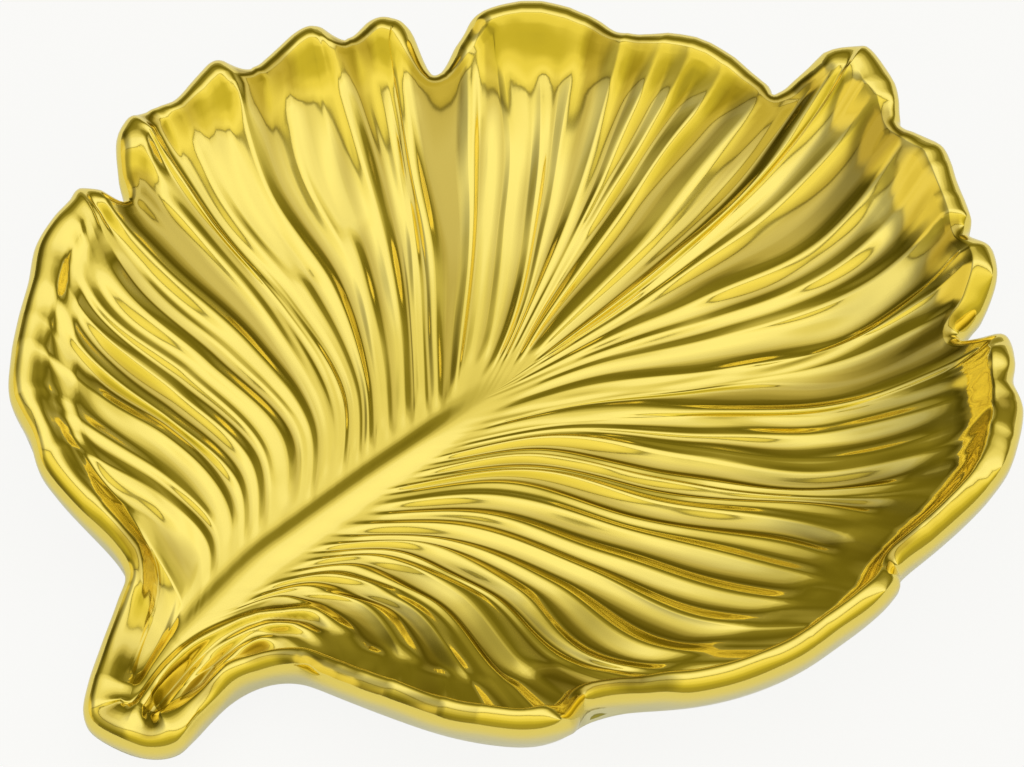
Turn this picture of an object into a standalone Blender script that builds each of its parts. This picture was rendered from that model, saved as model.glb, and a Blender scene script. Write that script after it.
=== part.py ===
"""A leaf-shaped soap dish, cast in one piece, on four small cushion feet.

The dish is one sheet of quads. Its columns start along the midrib and sweep out to the rim as
the veins of the leaf do, roll over the lip, run down the outer wall and meet under the foot.
Every height is worked out from the plan position, so the whole dish follows the named sizes.
"""

import math

import bmesh
import bpy
import numpy as np

# The whole dish
LEAF_WIDTH = 0.134
LEAF_LENGTH = 0.156
FLOOR_HEIGHT = 0.006
RIM_HEIGHT = 0.0256
STEM_HEIGHT = 0.0083
STEM_CLIMB = 0.0032
BASE_THICKNESS = 0.0042

# The lip
LIP_WIDTH = 0.0048
LIP_RISE = 0.0035
LIP_DROP = 0.0034
WALL_THICKNESS = 0.0062

# Folds and midrib
FOLD_HEIGHT = 0.0018
FOLD_SLOPE = 0.50
MIDRIB_WIDTH = 0.0064
MIDRIB_HEIGHT = 0.0008
CORD_WIDTH = 0.0032
CORD_HEIGHT = 0.0012
DENT_RADIUS = 0.0090
DENT_DEPTH = 0.0022

# The foot and its cushions
FOOT_RADIUS = 0.032
FOOT_EDGE = 0.0025
PAD_RADIUS = 0.0045
PAD_THICKNESS = 0.0020
PAD_EDGE = 0.0006
PAD_CIRCLE_RADIUS = 0.0225
PAD_CLEARANCE = 0.0003
PAD_COUNT = 4
PAD_SIDES = 32

# The bowl's plan, as shares of its width and length
BOWL_CENTRE_SHARES = (0.0, 0.023)
BOWL_RADIUS_SHARE = 0.496
BOWL_POWER = 2.7
NEAR_POWER = 0.1
NEAR_TURN = math.radians(48.0)
NEAR_DROP_SHARE = 0.25
LOW_SIDE_DROP_SHARE = 0.60
LOW_SIDE_ANGLE = math.radians(24.0)
STEM_CENTRE_SHARE = 0.022
STEM_SPREAD_SHARE = 0.104
NECK_SHARE = -0.387
NECK_BLEND_SHARE = 0.020
STEM_SHARE = 0.15
DENT_SHARES = (-0.262, -0.300)

# Mesh density
SIDE_COLUMNS = 80
FLOOR_RINGS = 17
LIP_RINGS = 6
WALL_RINGS = 5
UNDER_RINGS = 4
FOOT_RINGS = 2

# The rim seen from above, clockwise from the end of the stem, as shares of width and length.
# A station is a place along this list, so station 18 is the notch on the left.
RIM_SHARES = (
    (0.012, -0.535), (-0.015, -0.531), (-0.040, -0.507), (-0.066, -0.474), (-0.089, -0.439),
    (-0.103, -0.417), (-0.126, -0.413), (-0.171, -0.421), (-0.225, -0.423), (-0.262, -0.411),
    (-0.310, -0.400), (-0.347, -0.373), (-0.381, -0.339), (-0.404, -0.312), (-0.435, -0.282),
    (-0.451, -0.250), (-0.460, -0.224), (-0.469, -0.201), (-0.444, -0.173), (-0.466, -0.159),
    (-0.498, -0.137), (-0.512, -0.116), (-0.514, -0.098), (-0.504, -0.062), (-0.512, -0.024),
    (-0.515, 0.005), (-0.495, 0.033), (-0.495, 0.066), (-0.493, 0.098), (-0.484, 0.118),
    (-0.462, 0.136), (-0.459, 0.165), (-0.445, 0.187), (-0.422, 0.196), (-0.379, 0.194),
    (-0.385, 0.235), (-0.388, 0.258), (-0.372, 0.293), (-0.339, 0.328), (-0.289, 0.355),
    (-0.256, 0.365), (-0.214, 0.399), (-0.159, 0.421), (-0.094, 0.430), (-0.077, 0.432),
    (-0.061, 0.483), (-0.039, 0.507), (-0.014, 0.512), (0.031, 0.500), (0.061, 0.480),
    (0.076, 0.474), (0.126, 0.480), (0.171, 0.460), (0.211, 0.441), (0.226, 0.428),
    (0.256, 0.427), (0.286, 0.406), (0.303, 0.373), (0.304, 0.346), (0.343, 0.363),
    (0.375, 0.344), (0.394, 0.324), (0.423, 0.309), (0.450, 0.274), (0.467, 0.241),
    (0.474, 0.198), (0.469, 0.146), (0.462, 0.113), (0.475, 0.094), (0.481, 0.061),
    (0.477, 0.018), (0.471, -0.031), (0.455, -0.077), (0.426, -0.125), (0.392, -0.151),
    (0.350, -0.188), (0.363, -0.226), (0.351, -0.260), (0.318, -0.287), (0.275, -0.312),
    (0.229, -0.327), (0.186, -0.342), (0.135, -0.356), (0.106, -0.362), (0.082, -0.381),
    (0.071, -0.412), (0.076, -0.449), (0.085, -0.489), (0.059, -0.518),
)

# Lines of growth: the station that a line reaches, and three points on its way from the midrib,
# as shares of width and length.
GROWTH_SHARES = (
    (0.0, (0.020, -0.500), (0.018, -0.512), (0.015, -0.524)),
    (2.0, (0.000, -0.478), (-0.008, -0.484), (-0.018, -0.492)),
    (4.0, (-0.023, -0.435), (-0.042, -0.433), (-0.062, -0.432)),
    (5.5, (-0.045, -0.390), (-0.070, -0.390), (-0.093, -0.400)),
    (6.6, (-0.060, -0.360), (-0.100, -0.360), (-0.130, -0.385)),
    (8.0, (-0.076, -0.341), (-0.136, -0.345), (-0.187, -0.384)),
    (10.4, (-0.097, -0.302), (-0.183, -0.312), (-0.268, -0.355)),
    (12.7, (-0.124, -0.260), (-0.225, -0.274), (-0.317, -0.320)),
    (14.0, (-0.134, -0.236), (-0.243, -0.251), (-0.344, -0.296)),
    (16.2, (-0.131, -0.190), (-0.246, -0.198), (-0.351, -0.229)),
    (18.0, (-0.126, -0.160), (-0.237, -0.144), (-0.347, -0.158)),
    (22.3, (-0.139, -0.114), (-0.262, -0.093), (-0.387, -0.100)),
    (26.0, (-0.139, -0.082), (-0.252, -0.038), (-0.376, -0.018)),
    (30.0, (-0.138, -0.029), (-0.237, 0.034), (-0.343, 0.090)),
    (34.0, (-0.120, 0.007), (-0.198, 0.072), (-0.277, 0.128)),
    (37.5, (-0.096, 0.074), (-0.175, 0.160), (-0.258, 0.240)),
    (40.5, (-0.087, 0.098), (-0.136, 0.189), (-0.184, 0.282)),
    (42.0, (-0.077, 0.105), (-0.116, 0.208), (-0.140, 0.307)),
    (44.0, (-0.043, 0.115), (-0.050, 0.217), (-0.054, 0.320)),
    (47.0, (-0.019, 0.137), (-0.012, 0.260), (-0.008, 0.382)),
    (49.0, (-0.008, 0.120), (0.015, 0.235), (0.047, 0.352)),
    (52.0, (0.016, 0.107), (0.083, 0.220), (0.150, 0.334)),
    (55.0, (0.040, 0.073), (0.124, 0.185), (0.210, 0.295)),
    (58.0, (0.040, 0.033), (0.132, 0.135), (0.228, 0.233)),
    (61.0, (0.053, 0.018), (0.163, 0.127), (0.294, 0.216)),
    (63.0, (0.062, -0.021), (0.186, 0.079), (0.323, 0.157)),
    (67.0, (0.063, -0.068), (0.195, 0.008), (0.330, 0.088)),
    (69.6, (0.078, -0.127), (0.212, -0.068), (0.352, -0.026)),
    (71.5, (0.062, -0.172), (0.187, -0.134), (0.325, -0.134)),
    (75.0, (0.038, -0.239), (0.143, -0.188), (0.264, -0.199)),
    (78.0, (0.024, -0.282), (0.118, -0.233), (0.228, -0.252)),
    (81.5, (0.012, -0.340), (0.066, -0.289), (0.140, -0.303)),
    (84.0, (0.020, -0.405), (0.040, -0.390), (0.062, -0.385)),
    (86.0, (0.030, -0.461), (0.048, -0.459), (0.066, -0.457)),
    (87.5, (0.028, -0.482), (0.042, -0.485), (0.058, -0.492)),
)

# The midrib from the stem to the heart of the leaf, and where the columns start along it
MIDRIB_SHARES = (
    (0.020, -0.500), (-0.001, -0.450), (-0.013, -0.400), (-0.025, -0.350), (-0.034, -0.300),
    (-0.036, -0.250), (-0.037, -0.200), (-0.037, -0.150), (-0.035, -0.100), (-0.035, -0.050),
    (-0.035, 0.030),
)
START_SHARES = (
    (0.00, -0.482), (0.10, -0.440), (0.20, -0.390), (0.30, -0.325), (0.40, -0.260), (0.50, -0.205),
    (0.60, -0.155), (0.70, -0.100), (0.80, -0.050), (0.90, -0.008), (1.00, 0.030),
)

# Where lines of growth leave the midrib: station, and share of the length
LEFT_ROOT_SHARES = (
    (0.0, -0.488), (2.0, -0.480), (4.0, -0.440), (5.5, -0.405), (8.0, -0.375), (10.4, -0.345),
    (12.7, -0.310), (14.0, -0.285), (16.2, -0.250), (18.0, -0.225), (22.3, -0.185), (26.0, -0.150),
    (30.0, -0.105), (34.0, -0.060), (37.5, -0.025), (40.5, 0.000), (43.9, 0.030),
)
RIGHT_ROOT_SHARES = (
    (89.0, -0.488), (87.5, -0.480), (86.0, -0.460), (84.0, -0.435), (81.5, -0.405), (78.0, -0.370),
    (75.0, -0.330), (71.5, -0.275), (69.6, -0.225), (67.0, -0.190), (63.0, -0.145), (61.0, -0.110),
    (58.0, -0.085), (55.0, -0.045), (52.0, -0.010), (49.0, 0.010), (43.9, 0.030),
)

# Folds from the stem to the top. A fold is a cord with one steep side. Its row has the stations of
# the crest and of the crease at the steep side's foot, each at the inner fifth, the middle and the
# outer part of the way, then where it begins and ends, and its share of the full height.
LEFT_FOLD_SHARES = (
    ((1.0, 1.0, 1.0), (2.0, 2.0, 2.0), 0.30, 0.90, 0),
    ((5.5, 5.4, 5.5), (6.3, 6.2, 6.9), 0.30, 0.90, 0.55),
    ((8.6, 8.1, 8.2), (9.3, 8.8, 8.9), 0.12, 0.90, 0.78),
    ((9.6, 9.3, 9.5), (9.9, 9.7, 9.9), 0.30, 0.92, 0.62),
    ((10.9, 11.1, 11.2), (11.5, 11.7, 11.9), 0.18, 0.82, 0.78),
    ((12.25, 11.9, 12.3), (12.8, 12.5, 12.9), 0.08, 0.92, 0.86),
    ((13.6, 13.2, 13.5), (14.2, 13.9, 14.15), 0.06, 0.94, 0.86),
    ((14.5, 14.4, 14.5), (14.75, 14.7, 14.85), 0.15, 0.88, 0.47),
    ((15.6, 15.55, 15.8), (16.2, 16.15, 16.35), 0.08, 0.92, 0.86),
    ((16.6, 16.6, 16.8), (16.85, 16.9, 17.05), 0.30, 0.85, 0.39),
    ((17.3, 17.5, 17.5), (17.85, 18.1, 18.15), 0.06, 1.20, 0.89),
    ((18.5, 18.7, 18.8), (18.1, 18.3, 18.35), 0.10, 0.98, 0.59),
    ((19.3, 19.3, 19.4), (19.7, 19.7, 19.8), 0.15, 0.60, 0.34),
    ((21.4, 21.4, 21.6), (22.1, 22.1, 22.2), 0.06, 1.10, 1.05),
    ((22.9, 22.9, 22.8), (22.4, 22.4, 22.4), 0.10, 0.98, 0.7),
    ((23.5, 23.6, 23.6), (24.1, 24.2, 24.1), 0.06, 0.60, 0.8),
    ((25.1, 25.4, 25.2), (25.9, 26.15, 25.95), 0.06, 1.20, 1.1),
    ((26.6, 26.8, 26.5), (26.15, 26.35, 26.1), 0.10, 0.98, 0.8),
    ((27.3, 27.4, 27.6), (27.9, 28.0, 28.1), 0.06, 0.66, 0.9),
    ((29.15, 29.3, 29.2), (29.95, 30.1, 29.95), 0.06, 1.20, 1.15),
    ((30.65, 30.75, 30.5), (30.2, 30.3, 30.1), 0.10, 0.98, 0.9),
    ((31.4, 31.5, 31.5), (31.9, 32.1, 32.0), 0.06, 0.70, 1),
    ((33.1, 33.2, 33.2), (33.85, 33.95, 33.9), 0.06, 1.20, 1.25),
    ((34.75, 34.8, 34.7), (34.15, 34.2, 34.1), 0.08, 1.05, 1.1),
    ((35.4, 35.4, 35.4), (35.0, 35.0, 35.0), 0.15, 0.89, 0.6),
    ((36.4, 36.3, 36.3), (35.9, 35.85, 35.85), 0.15, 0.97, 0.9),
    ((37.7, 37.9, 37.8), (36.9, 37.3, 37.3), 0.10, 0.94, 1),
    ((38.6, 38.85, 38.8), (38.1, 38.35, 38.4), 0.12, 0.97, 0.9),
    ((39.8, 40.2, 40.1), (39.1, 39.6, 39.6), 0.10, 1.04, 1),
    ((40.8, 41.05, 40.9), (40.3, 40.6, 40.45), 0.12, 1.01, 0.9),
    ((41.5, 41.6, 41.5), (41.2, 41.3, 41.15), 0.50, 1.02, 0.8),
    ((42.4, 42.5, 42.3), (41.7, 42.0, 41.8), 0.07, 1.01, 1.1),
    ((43.5, 43.6, 43.4), (42.7, 42.95, 42.8), 0.10, 1.04, 1),
)
RIGHT_FOLD_SHARES = (
    ((88.0, 88.0, 88.0), (87.0, 87.0, 87.0), 0.30, 0.90, 0),
    ((81.5, 82.5, 82.6), (81.9, 82.9, 83.0), 0.30, 0.70, 0.5),
    ((79.5, 81.5, 81.7), (80.2, 82.0, 82.1), 0.25, 0.75, 0.6),
    ((78.0, 80.0, 80.4), (79.2, 81.0, 81.2), 0.10, 0.84, 1),
    ((75.8, 77.9, 78.3), (77.0, 78.8, 79.1), 0.08, 0.86, 1.2),
    ((74.5, 76.4, 76.8), (75.0, 76.8, 77.1), 0.12, 0.84, 0.6),
    ((73.2, 74.9, 75.3), (74.0, 75.8, 76.0), 0.08, 0.88, 1.2),
    ((72.5, 73.7, 74.2), (72.8, 74.0, 74.5), 0.12, 0.84, 0.6),
    ((71.5, 72.2, 72.6), (72.2, 73.2, 73.4), 0.06, 0.88, 1.2),
    ((70.9, 70.95, 71.1), (71.3, 71.4, 71.6), 0.10, 0.90, 0.9),
    ((69.6, 70.0, 70.2), (70.5, 70.45, 70.6), 0.05, 0.90, 1),
    ((68.7, 69.05, 69.2), (69.1, 69.5, 69.6), 0.08, 0.92, 0.9),
    ((67.7, 67.75, 68.1), (68.3, 68.3, 68.6), 0.06, 0.93, 1),
    ((66.8, 67.2, 67.4), (67.1, 67.4, 67.6), 0.35, 0.93, 0.4),
    ((64.8, 66.15, 66.8), (66.2, 66.9, 67.1), 0.05, 0.93, 1.1),
    ((63.9, 65.4, 65.8), (64.1, 65.6, 66.1), 0.55, 0.93, 0.4),
    ((62.5, 64.2, 65.0), (63.2, 65.0, 65.4), 0.06, 0.92, 1.1),
    ((62.2, 63.8, 64.3), (62.4, 64.0, 64.6), 0.55, 0.93, 0.4),
    ((61.3, 62.55, 62.9), (61.9, 63.2, 63.3), 0.06, 0.95, 1.1),
    ((61.0, 62.05, 62.0), (60.9, 61.75, 61.6), 0.30, 0.95, 0.6),
    ((60.6, 61.4, 60.9), (60.0, 60.9, 60.4), 0.08, 0.97, 0.8),
    ((59.0, 59.6, 59.4), (59.3, 60.0, 59.7), 0.45, 0.95, 0.26),
    ((57.4, 58.0, 58.8), (56.6, 57.2, 58.0), 0.10, 1.20, 0.72),
    ((56.0, 56.4, 57.4), (56.4, 57.0, 57.9), 0.15, 0.98, 0.42),
    ((54.1, 54.9, 55.9), (53.3, 54.05, 55.1), 0.08, 1.01, 0.64),
    ((52.3, 52.75, 53.1), (51.7, 52.15, 52.5), 0.12, 1.04, 0.64),
    ((50.8, 51.4, 51.6), (50.3, 50.9, 51.1), 0.20, 0.92, 0.64),
    ((49.5, 50.1, 50.3), (48.7, 49.45, 49.7), 0.06, 1.03, 0.68),
    ((47.4, 48.4, 48.6), (46.7, 47.8, 48.0), 0.10, 0.98, 0.72),
    ((46.0, 46.5, 46.6), (45.5, 45.95, 46.05), 0.12, 0.98, 0.8),
    ((45.1, 45.1, 44.9), (44.4, 44.4, 44.2), 0.08, 1.20, 1.2),
)
INNER_SHARE = 0.20
OUTER_SHARE = 0.85
FOLD_GROWN_SHARE = 0.14
FOLD_END_SHARE = 0.09
STRAIGHT_SHARE = 0.7
SPOON_SHARE = 0.11

# Cords that run down beside the midrib into the stem, as shares of width and length
STEM_CORD_SHARES = (
    (
        (0.100, -0.300), (0.055, -0.302), (0.024, -0.335), (0.008, -0.385), (0.008, -0.440), (0.030, -0.500),
        (0.040, -0.545),
    ),
    (
        (0.110, -0.322), (0.062, -0.322), (0.033, -0.352), (0.022, -0.395), (0.030, -0.440), (0.054, -0.495),
        (0.064, -0.535),
    ),
    ((0.066, -0.348), (0.044, -0.360), (0.040, -0.395), (0.052, -0.435), (0.076, -0.485), (0.090, -0.515)),
)

# The lip along the rim: station, share of the full rise, how far in the rise begins, and how far in
# the crest lies, both as shares of the lip's width. Notches lie low; the near lip is a rolled cord
# where the far one is a wide spoon with a thin edge.
RIM_FORM_SHARES = (
    (0.0, 0.15, 1.30, 0.50), (1.5, 0.40, 1.30, 0.52), (4.0, 0.60, 1.30, 0.55), (5.5, 0.60, 1.30, 0.52),
    (7.5, 0.85, 1.50, 0.52), (9.0, 0.90, 1.40, 0.54), (12.0, 0.85, 1.80, 0.60), (16.8, 0.75, 1.90, 0.66),
    (18.2, 0.10, 1.80, 0.66), (20.0, 0.70, 2.10, 0.70), (22.3, 0.35, 2.00, 0.70), (24.2, 0.70, 2.20, 0.74),
    (26.0, 0.25, 2.10, 0.74), (28.2, 0.70, 2.20, 0.74), (30.0, 0.30, 2.10, 0.74), (32.0, 0.65, 2.20, 0.74),
    (34.1, 0.00, 1.80, 0.74), (36.8, 0.70, 2.40, 0.74), (40.0, 0.40, 2.30, 0.74), (42.0, 0.70, 2.40, 0.74),
    (43.9, 0.00, 1.80, 0.74), (46.8, 0.75, 2.60, 0.74), (50.0, 0.45, 2.50, 0.74), (52.0, 0.70, 2.50, 0.74),
    (54.3, 0.45, 2.40, 0.74), (56.0, 0.65, 2.20, 0.74), (58.0, 0.00, 1.60, 0.74), (60.0, 0.80, 2.00, 0.74),
    (61.6, 0.75, 1.70, 0.72), (63.4, 1.20, 1.40, 0.68), (65.4, 1.30, 1.10, 0.62), (67.2, 0.85, 1.00, 0.60),
    (68.8, 1.30, 1.00, 0.58), (71.0, 1.50, 1.00, 0.58), (73.6, 1.65, 1.00, 0.58), (75.1, 1.00, 1.00, 0.56),
    (76.6, 1.75, 1.00, 0.58), (79.0, 1.65, 1.00, 0.58), (81.0, 1.50, 1.00, 0.58), (82.6, 1.20, 1.00, 0.57),
    (84.2, 0.75, 1.00, 0.55), (86.5, 0.45, 1.10, 0.52),
)
# The outer wall below the lip: shares of the wall's thickness inwards and downwards
WALL_SHARES = ((0.00, 0.00), (0.02, 0.27), (0.08, 0.53), (0.20, 0.78), (0.45, 0.98), (0.80, 1.10))

GOLD_COLOUR = (0.80, 0.60, 0.10, 1.0)
PAD_COLOUR = (0.62, 0.62, 0.60, 1.0)


def clear_scene():
    for obj in list(bpy.data.objects):
        bpy.data.objects.remove(obj, do_unlink=True)


def make_material(name, colour, metallic, roughness):
    material = bpy.data.materials.new(name)
    material.use_nodes = True
    shader = material.node_tree.nodes["Principled BSDF"]
    shader.inputs["Base Color"].default_value = colour
    shader.inputs["Metallic"].default_value = metallic
    shader.inputs["Roughness"].default_value = roughness
    return material


def spline(knots, values, at, period=0.0):
    """A smooth curve through the values at the knots, closed if it has a period."""
    knots = np.asarray(knots, float)
    values = np.asarray(values, float)
    at = np.asarray(at, float)
    if period:
        at = (at - knots[0]) % period + knots[0]
        knots = np.concatenate([knots[-2:] - period, knots, knots[:2] + period])
        values = np.concatenate([values[-2:], values, values[:2]])
    slopes = np.gradient(values, knots, axis=0)
    left = np.clip(np.searchsorted(knots, at, side="right") - 1, 0, len(knots) - 2)
    along = (at - knots[left]) / (knots[left + 1] - knots[left])
    step = knots[left + 1] - knots[left]
    shape = at.shape + (1,) * (values.ndim - 1)
    u = along.reshape(shape)
    h = step.reshape(shape)
    return (
        values[left] * (2 * u**3 - 3 * u**2 + 1)
        + slopes[left] * h * (u**3 - 2 * u**2 + u)
        + values[left + 1] * (3 * u**2 - 2 * u**3)
        + slopes[left + 1] * h * (u**3 - u**2)
    )


def ease(low, high, value):
    """From 0 at low to 1 at high, level at both ends."""
    u = np.clip((value - low) / (high - low), 0.0, 1.0)
    return u * u * (3 - 2 * u)


def ridge(reach):
    """A round ridge: 1 on its line, 0 from a reach of 1."""
    return 0.5 + 0.5 * np.cos(math.pi * np.clip(np.abs(reach), 0.0, 1.0))


def plan(shares):
    """Plan points in metres from shares of the whole width and length."""
    return (np.asarray(shares, float) - MIDDLE_SHARES) / SPAN_SHARES * (LEAF_WIDTH, LEAF_LENGTH)


def rim_point(station):
    return plan(spline(np.arange(len(RIM_SHARES)), RIM_SHARES, station, len(RIM_SHARES)))


def rim_inward(station, reach):
    """The direction into the leaf, level, square to the rim as it runs over a reach of stations."""
    along = rim_point(station + reach) - rim_point(station - reach)
    inward = np.stack([along[..., 1], -along[..., 0]], -1)
    return inward / np.linalg.norm(inward, axis=-1, keepdims=True)


def bowl(points):
    """The height of the plain bowl, without lip or veins, at plan points."""
    centre = plan(BOWL_CENTRE_SHARES)
    radius = BOWL_RADIUS_SHARE * LEAF_WIDTH
    x, y = (points - centre)[..., 0], (points - centre)[..., 1]
    reach = np.clip(np.hypot(x, y) / radius, 0.0, 1.0)
    side = np.arctan2(x, -y)
    low_side = np.exp(-((side / LOW_SIDE_ANGLE) ** 2))
    near = np.cos(side - NEAR_TURN)
    drop = LOW_SIDE_DROP_SHARE * low_side + NEAR_DROP_SHARE * np.clip(near, 0.0, 1.0)
    rise = (RIM_HEIGHT - FLOOR_HEIGHT) * (1 - drop)
    dish = FLOOR_HEIGHT + rise * reach ** (BOWL_POWER + NEAR_POWER * near)
    across = (points[..., 0] - STEM_CENTRE_SHARE * LEAF_WIDTH) / (STEM_SPREAD_SHARE * LEAF_WIDTH)
    below = (points[..., 1] - NECK_SHARE * LEAF_LENGTH) / (NECK_BLEND_SHARE * LEAF_LENGTH)
    on_stem = np.exp(-(across**2)) / (1 + np.exp(np.clip(below, -40.0, 40.0)))
    climb = np.clip((NECK_SHARE - points[..., 1] / LEAF_LENGTH) / STEM_SHARE, 0.0, 1.0)
    return dish * (1 - on_stem) + (STEM_HEIGHT + STEM_CLIMB * climb) * on_stem


def fold_lines(folds, stem):
    """Stations of one side's crests and creases in order from the stem, and 1, -1 or 0 for each."""
    stations, signs = [[stem] * 3], [0]
    for crest, crease, *_ in folds:
        crest_first = (crest[1] < crease[1]) == (stem == 0.0)
        stations += [crest, crease] if crest_first else [crease, crest]
        signs += [1, -1] if crest_first else [-1, 1]
    return np.array(stations + [[TOP_STATION] * 3]), np.array(signs + [0])


def side_places(folds, roots, stem):
    """The columns of one side that run along its crests and creases."""
    lines = fold_lines(folds, stem)[0]
    share, start = np.transpose(START_SHARES)
    root = np.interp(lines[:, 0], *np.transpose(sorted(roots)))
    by_root = np.interp(root, start, share)
    by_rim = (lines[:, 2] - stem) / (TOP_STATION - stem)
    places = np.round((by_root + by_rim) / 2 * SIDE_COLUMNS).astype(int)
    places[0] = 0
    for line in range(1, len(places)):
        places[line] = max(places[line], places[line - 1] + 1)
    places[-1] = SIDE_COLUMNS
    for line in range(len(places) - 2, 0, -1):
        places[line] = min(places[line], places[line + 1] - 1)
    return places


def side_stations(folds, roots, stem, column, share):
    """The station that a column follows at each share of its way, from the lines either side."""
    places = side_places(folds, roots, stem)
    table = fold_lines(folds, stem)[0]
    inner, middle, outer = (np.interp(column, places, table[:, k]) for k in range(3))
    stops = np.stack([inner, inner, middle, outer, outer])
    return spline((0.0, INNER_SHARE, 0.5, OUTER_SHARE, 1.0), stops, share).T


def growth_points(stations, starts, shares):
    """Plan points of columns: they leave the midrib, follow the growth and end inside the lip."""
    knots = [row[0] for row in GROWTH_SHARES]
    inner = plan(spline(knots, [row[1:] for row in GROWTH_SHARES], stations, len(RIM_SHARES)))
    rim = rim_point(stations)
    end = rim + rim_inward(stations, LIP_REACH) * LIP_WIDTH
    points = np.empty(end.shape)
    trial = np.linspace(0.0, 1.0, WAY_STEPS)
    for column, start in enumerate(starts):
        for ring, share in enumerate(shares):
            stops = np.vstack([start, inner[column, ring], rim[column, ring]])
            way = spline(np.linspace(0.0, 1.0, len(stops)), stops, trial)
            steps = np.linalg.norm(np.diff(way, axis=0), axis=1)
            left_over = steps.sum() - np.concatenate([[0.0], np.cumsum(steps)])
            stop = np.interp(-LIP_WIDTH, -left_over, trial)
            at = np.array([stop * share, stop])
            place, last = spline(np.linspace(0.0, 1.0, len(stops)), stops, at)
            points[column, ring] = place + (end[column, ring] - last) * share**2
    return points


def nearest(points, line):
    """The distance of each plan point from a line of plan points, and its place along it."""
    start, end = line[:-1], line[1:]
    way = end - start
    offset = points[..., None, :] - start
    along = np.clip((offset * way).sum(-1) / (way * way).sum(-1), 0.0, 1.0)
    gap = np.linalg.norm(offset - along[..., None] * way, axis=-1)
    best = gap.argmin(-1)
    pick = best[..., None]
    place = (np.take_along_axis(along, pick, -1)[..., 0] + best) / len(way)
    return np.take_along_axis(gap, pick, -1)[..., 0], place


def smooth_line(shares, count):
    knots = np.arange(len(shares))
    return plan(spline(knots, shares, np.linspace(0, len(shares) - 1, count)))


def fold_relief(folds, roots, stem, columns, lines, share):
    """Height over the bowl at columns of one side: its folds, and the spoons between them."""
    begins, ends, level = (np.array([row[k] for row in folds])[:, None] for k in (2, 3, 4))
    signs = fold_lines(folds, stem)[1]
    places = side_places(folds, roots, stem)
    across = np.diff(lines, axis=0)
    along = np.gradient(lines, axis=1)[:-1]
    along /= np.linalg.norm(along, axis=-1, keepdims=True) + 1e-12
    spacing = np.abs(across[..., 0] * along[..., 1] - across[..., 1] * along[..., 0])
    grown = ease(begins, begins + FOLD_GROWN_SHARE, share[None])
    ended = ease(ends - FOLD_END_SHARE, ends, share[None])
    height = FOLD_HEIGHT * level * grown * (1 - ended)
    steep = FOLD_SLOPE * level * spacing[1::2]
    height = height * steep / np.hypot(height, steep + 1e-9)
    levels = np.zeros(lines.shape[:2])
    levels[1:-1] = np.repeat(height, 2, axis=0) * signs[1:-1, None] / 2
    left = np.clip(np.searchsorted(places, columns, side="right") - 1, 0, len(places) - 2)
    part = ((columns - places[left]) / (places[left + 1] - places[left]))[:, None]
    straight = np.where(left % 2 == 1, STRAIGHT_SHARE, 0.0)[:, None]
    climb = straight * part + (1 - straight) * ease(0.0, 1.0, part)
    gap = np.clip(spacing[left] - FOLD_HEIGHT, 0.0, MOST_SPOON)
    spoon = SPOON_SHARE * gap * 4 * part * (1 - part) * ease(*SPOON_GROWN_SHARES, share)
    return levels[left] + (levels[left + 1] - levels[left]) * climb - spoon


def ridge_relief(points):
    """The midrib, the cords that run beside it into the stem, and the dent left of the stem."""
    line = smooth_line(MIDRIB_SHARES, MIDRIB_STEPS)
    gap, place = nearest(points, line)
    lift = MIDRIB_HEIGHT * ridge(gap / (MIDRIB_WIDTH / 2)) * (1 - ease(*MIDRIB_FADE_SHARES, place))
    for cord in STEM_CORD_SHARES:
        gap, place = nearest(points, smooth_line(cord, MIDRIB_STEPS))
        lift += CORD_HEIGHT * ridge(gap / (CORD_WIDTH / 2)) * ease(0.0, 0.25, place)
    offset = (points - plan(DENT_SHARES)) / DENT_RADIUS
    return lift - DENT_DEPTH * np.exp(-(offset**2).sum(axis=-1))


def eased_ring(ring, passes):
    """A closed ring of points, whose last point repeats the first, with its corners eased off."""
    ring = ring[:-1]
    for _ in range(passes):
        ring = (np.roll(ring, 1, axis=0) + 2 * ring + np.roll(ring, -1, axis=0)) / 4
    return np.vstack([ring, ring[:1]])


def rim_form(station):
    """The lip's share of the full rise, its reach inwards and its crest's place, at stations."""
    table = np.asarray(RIM_FORM_SHARES)
    form = spline(table[:, 0], table[:, 1:], station, len(RIM_SHARES))
    return form[..., 0], form[..., 1], form[..., 2]


def upper_side(points, depth, lift, station):
    """Heights inside the crest of the lip, at plan points that lie a depth in from the rim."""
    share, reach, crest = rim_form(station)
    crest = crest * LIP_WIDTH
    x = np.clip((depth - crest) / (reach * LIP_WIDTH - crest), 0.0, 1.0)
    spoon = np.clip((reach - 1.0) / 0.8, 0.0, 1.0)
    rolled = 1 - x * x
    scooped = (1 - x) ** 3 * (1 + 3 * x)
    rise = LIP_RISE * share * (rolled * (1 - spoon) + scooped * spoon)
    edge = LIFT_EDGE_SHARE * crest
    inwards = np.clip((depth - edge) / (LIFT_REACH * LIP_WIDTH - edge), 0.0, 1.0)
    return bowl(points) + rise + lift * ease(0.0, 1.0, inwards)


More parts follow.
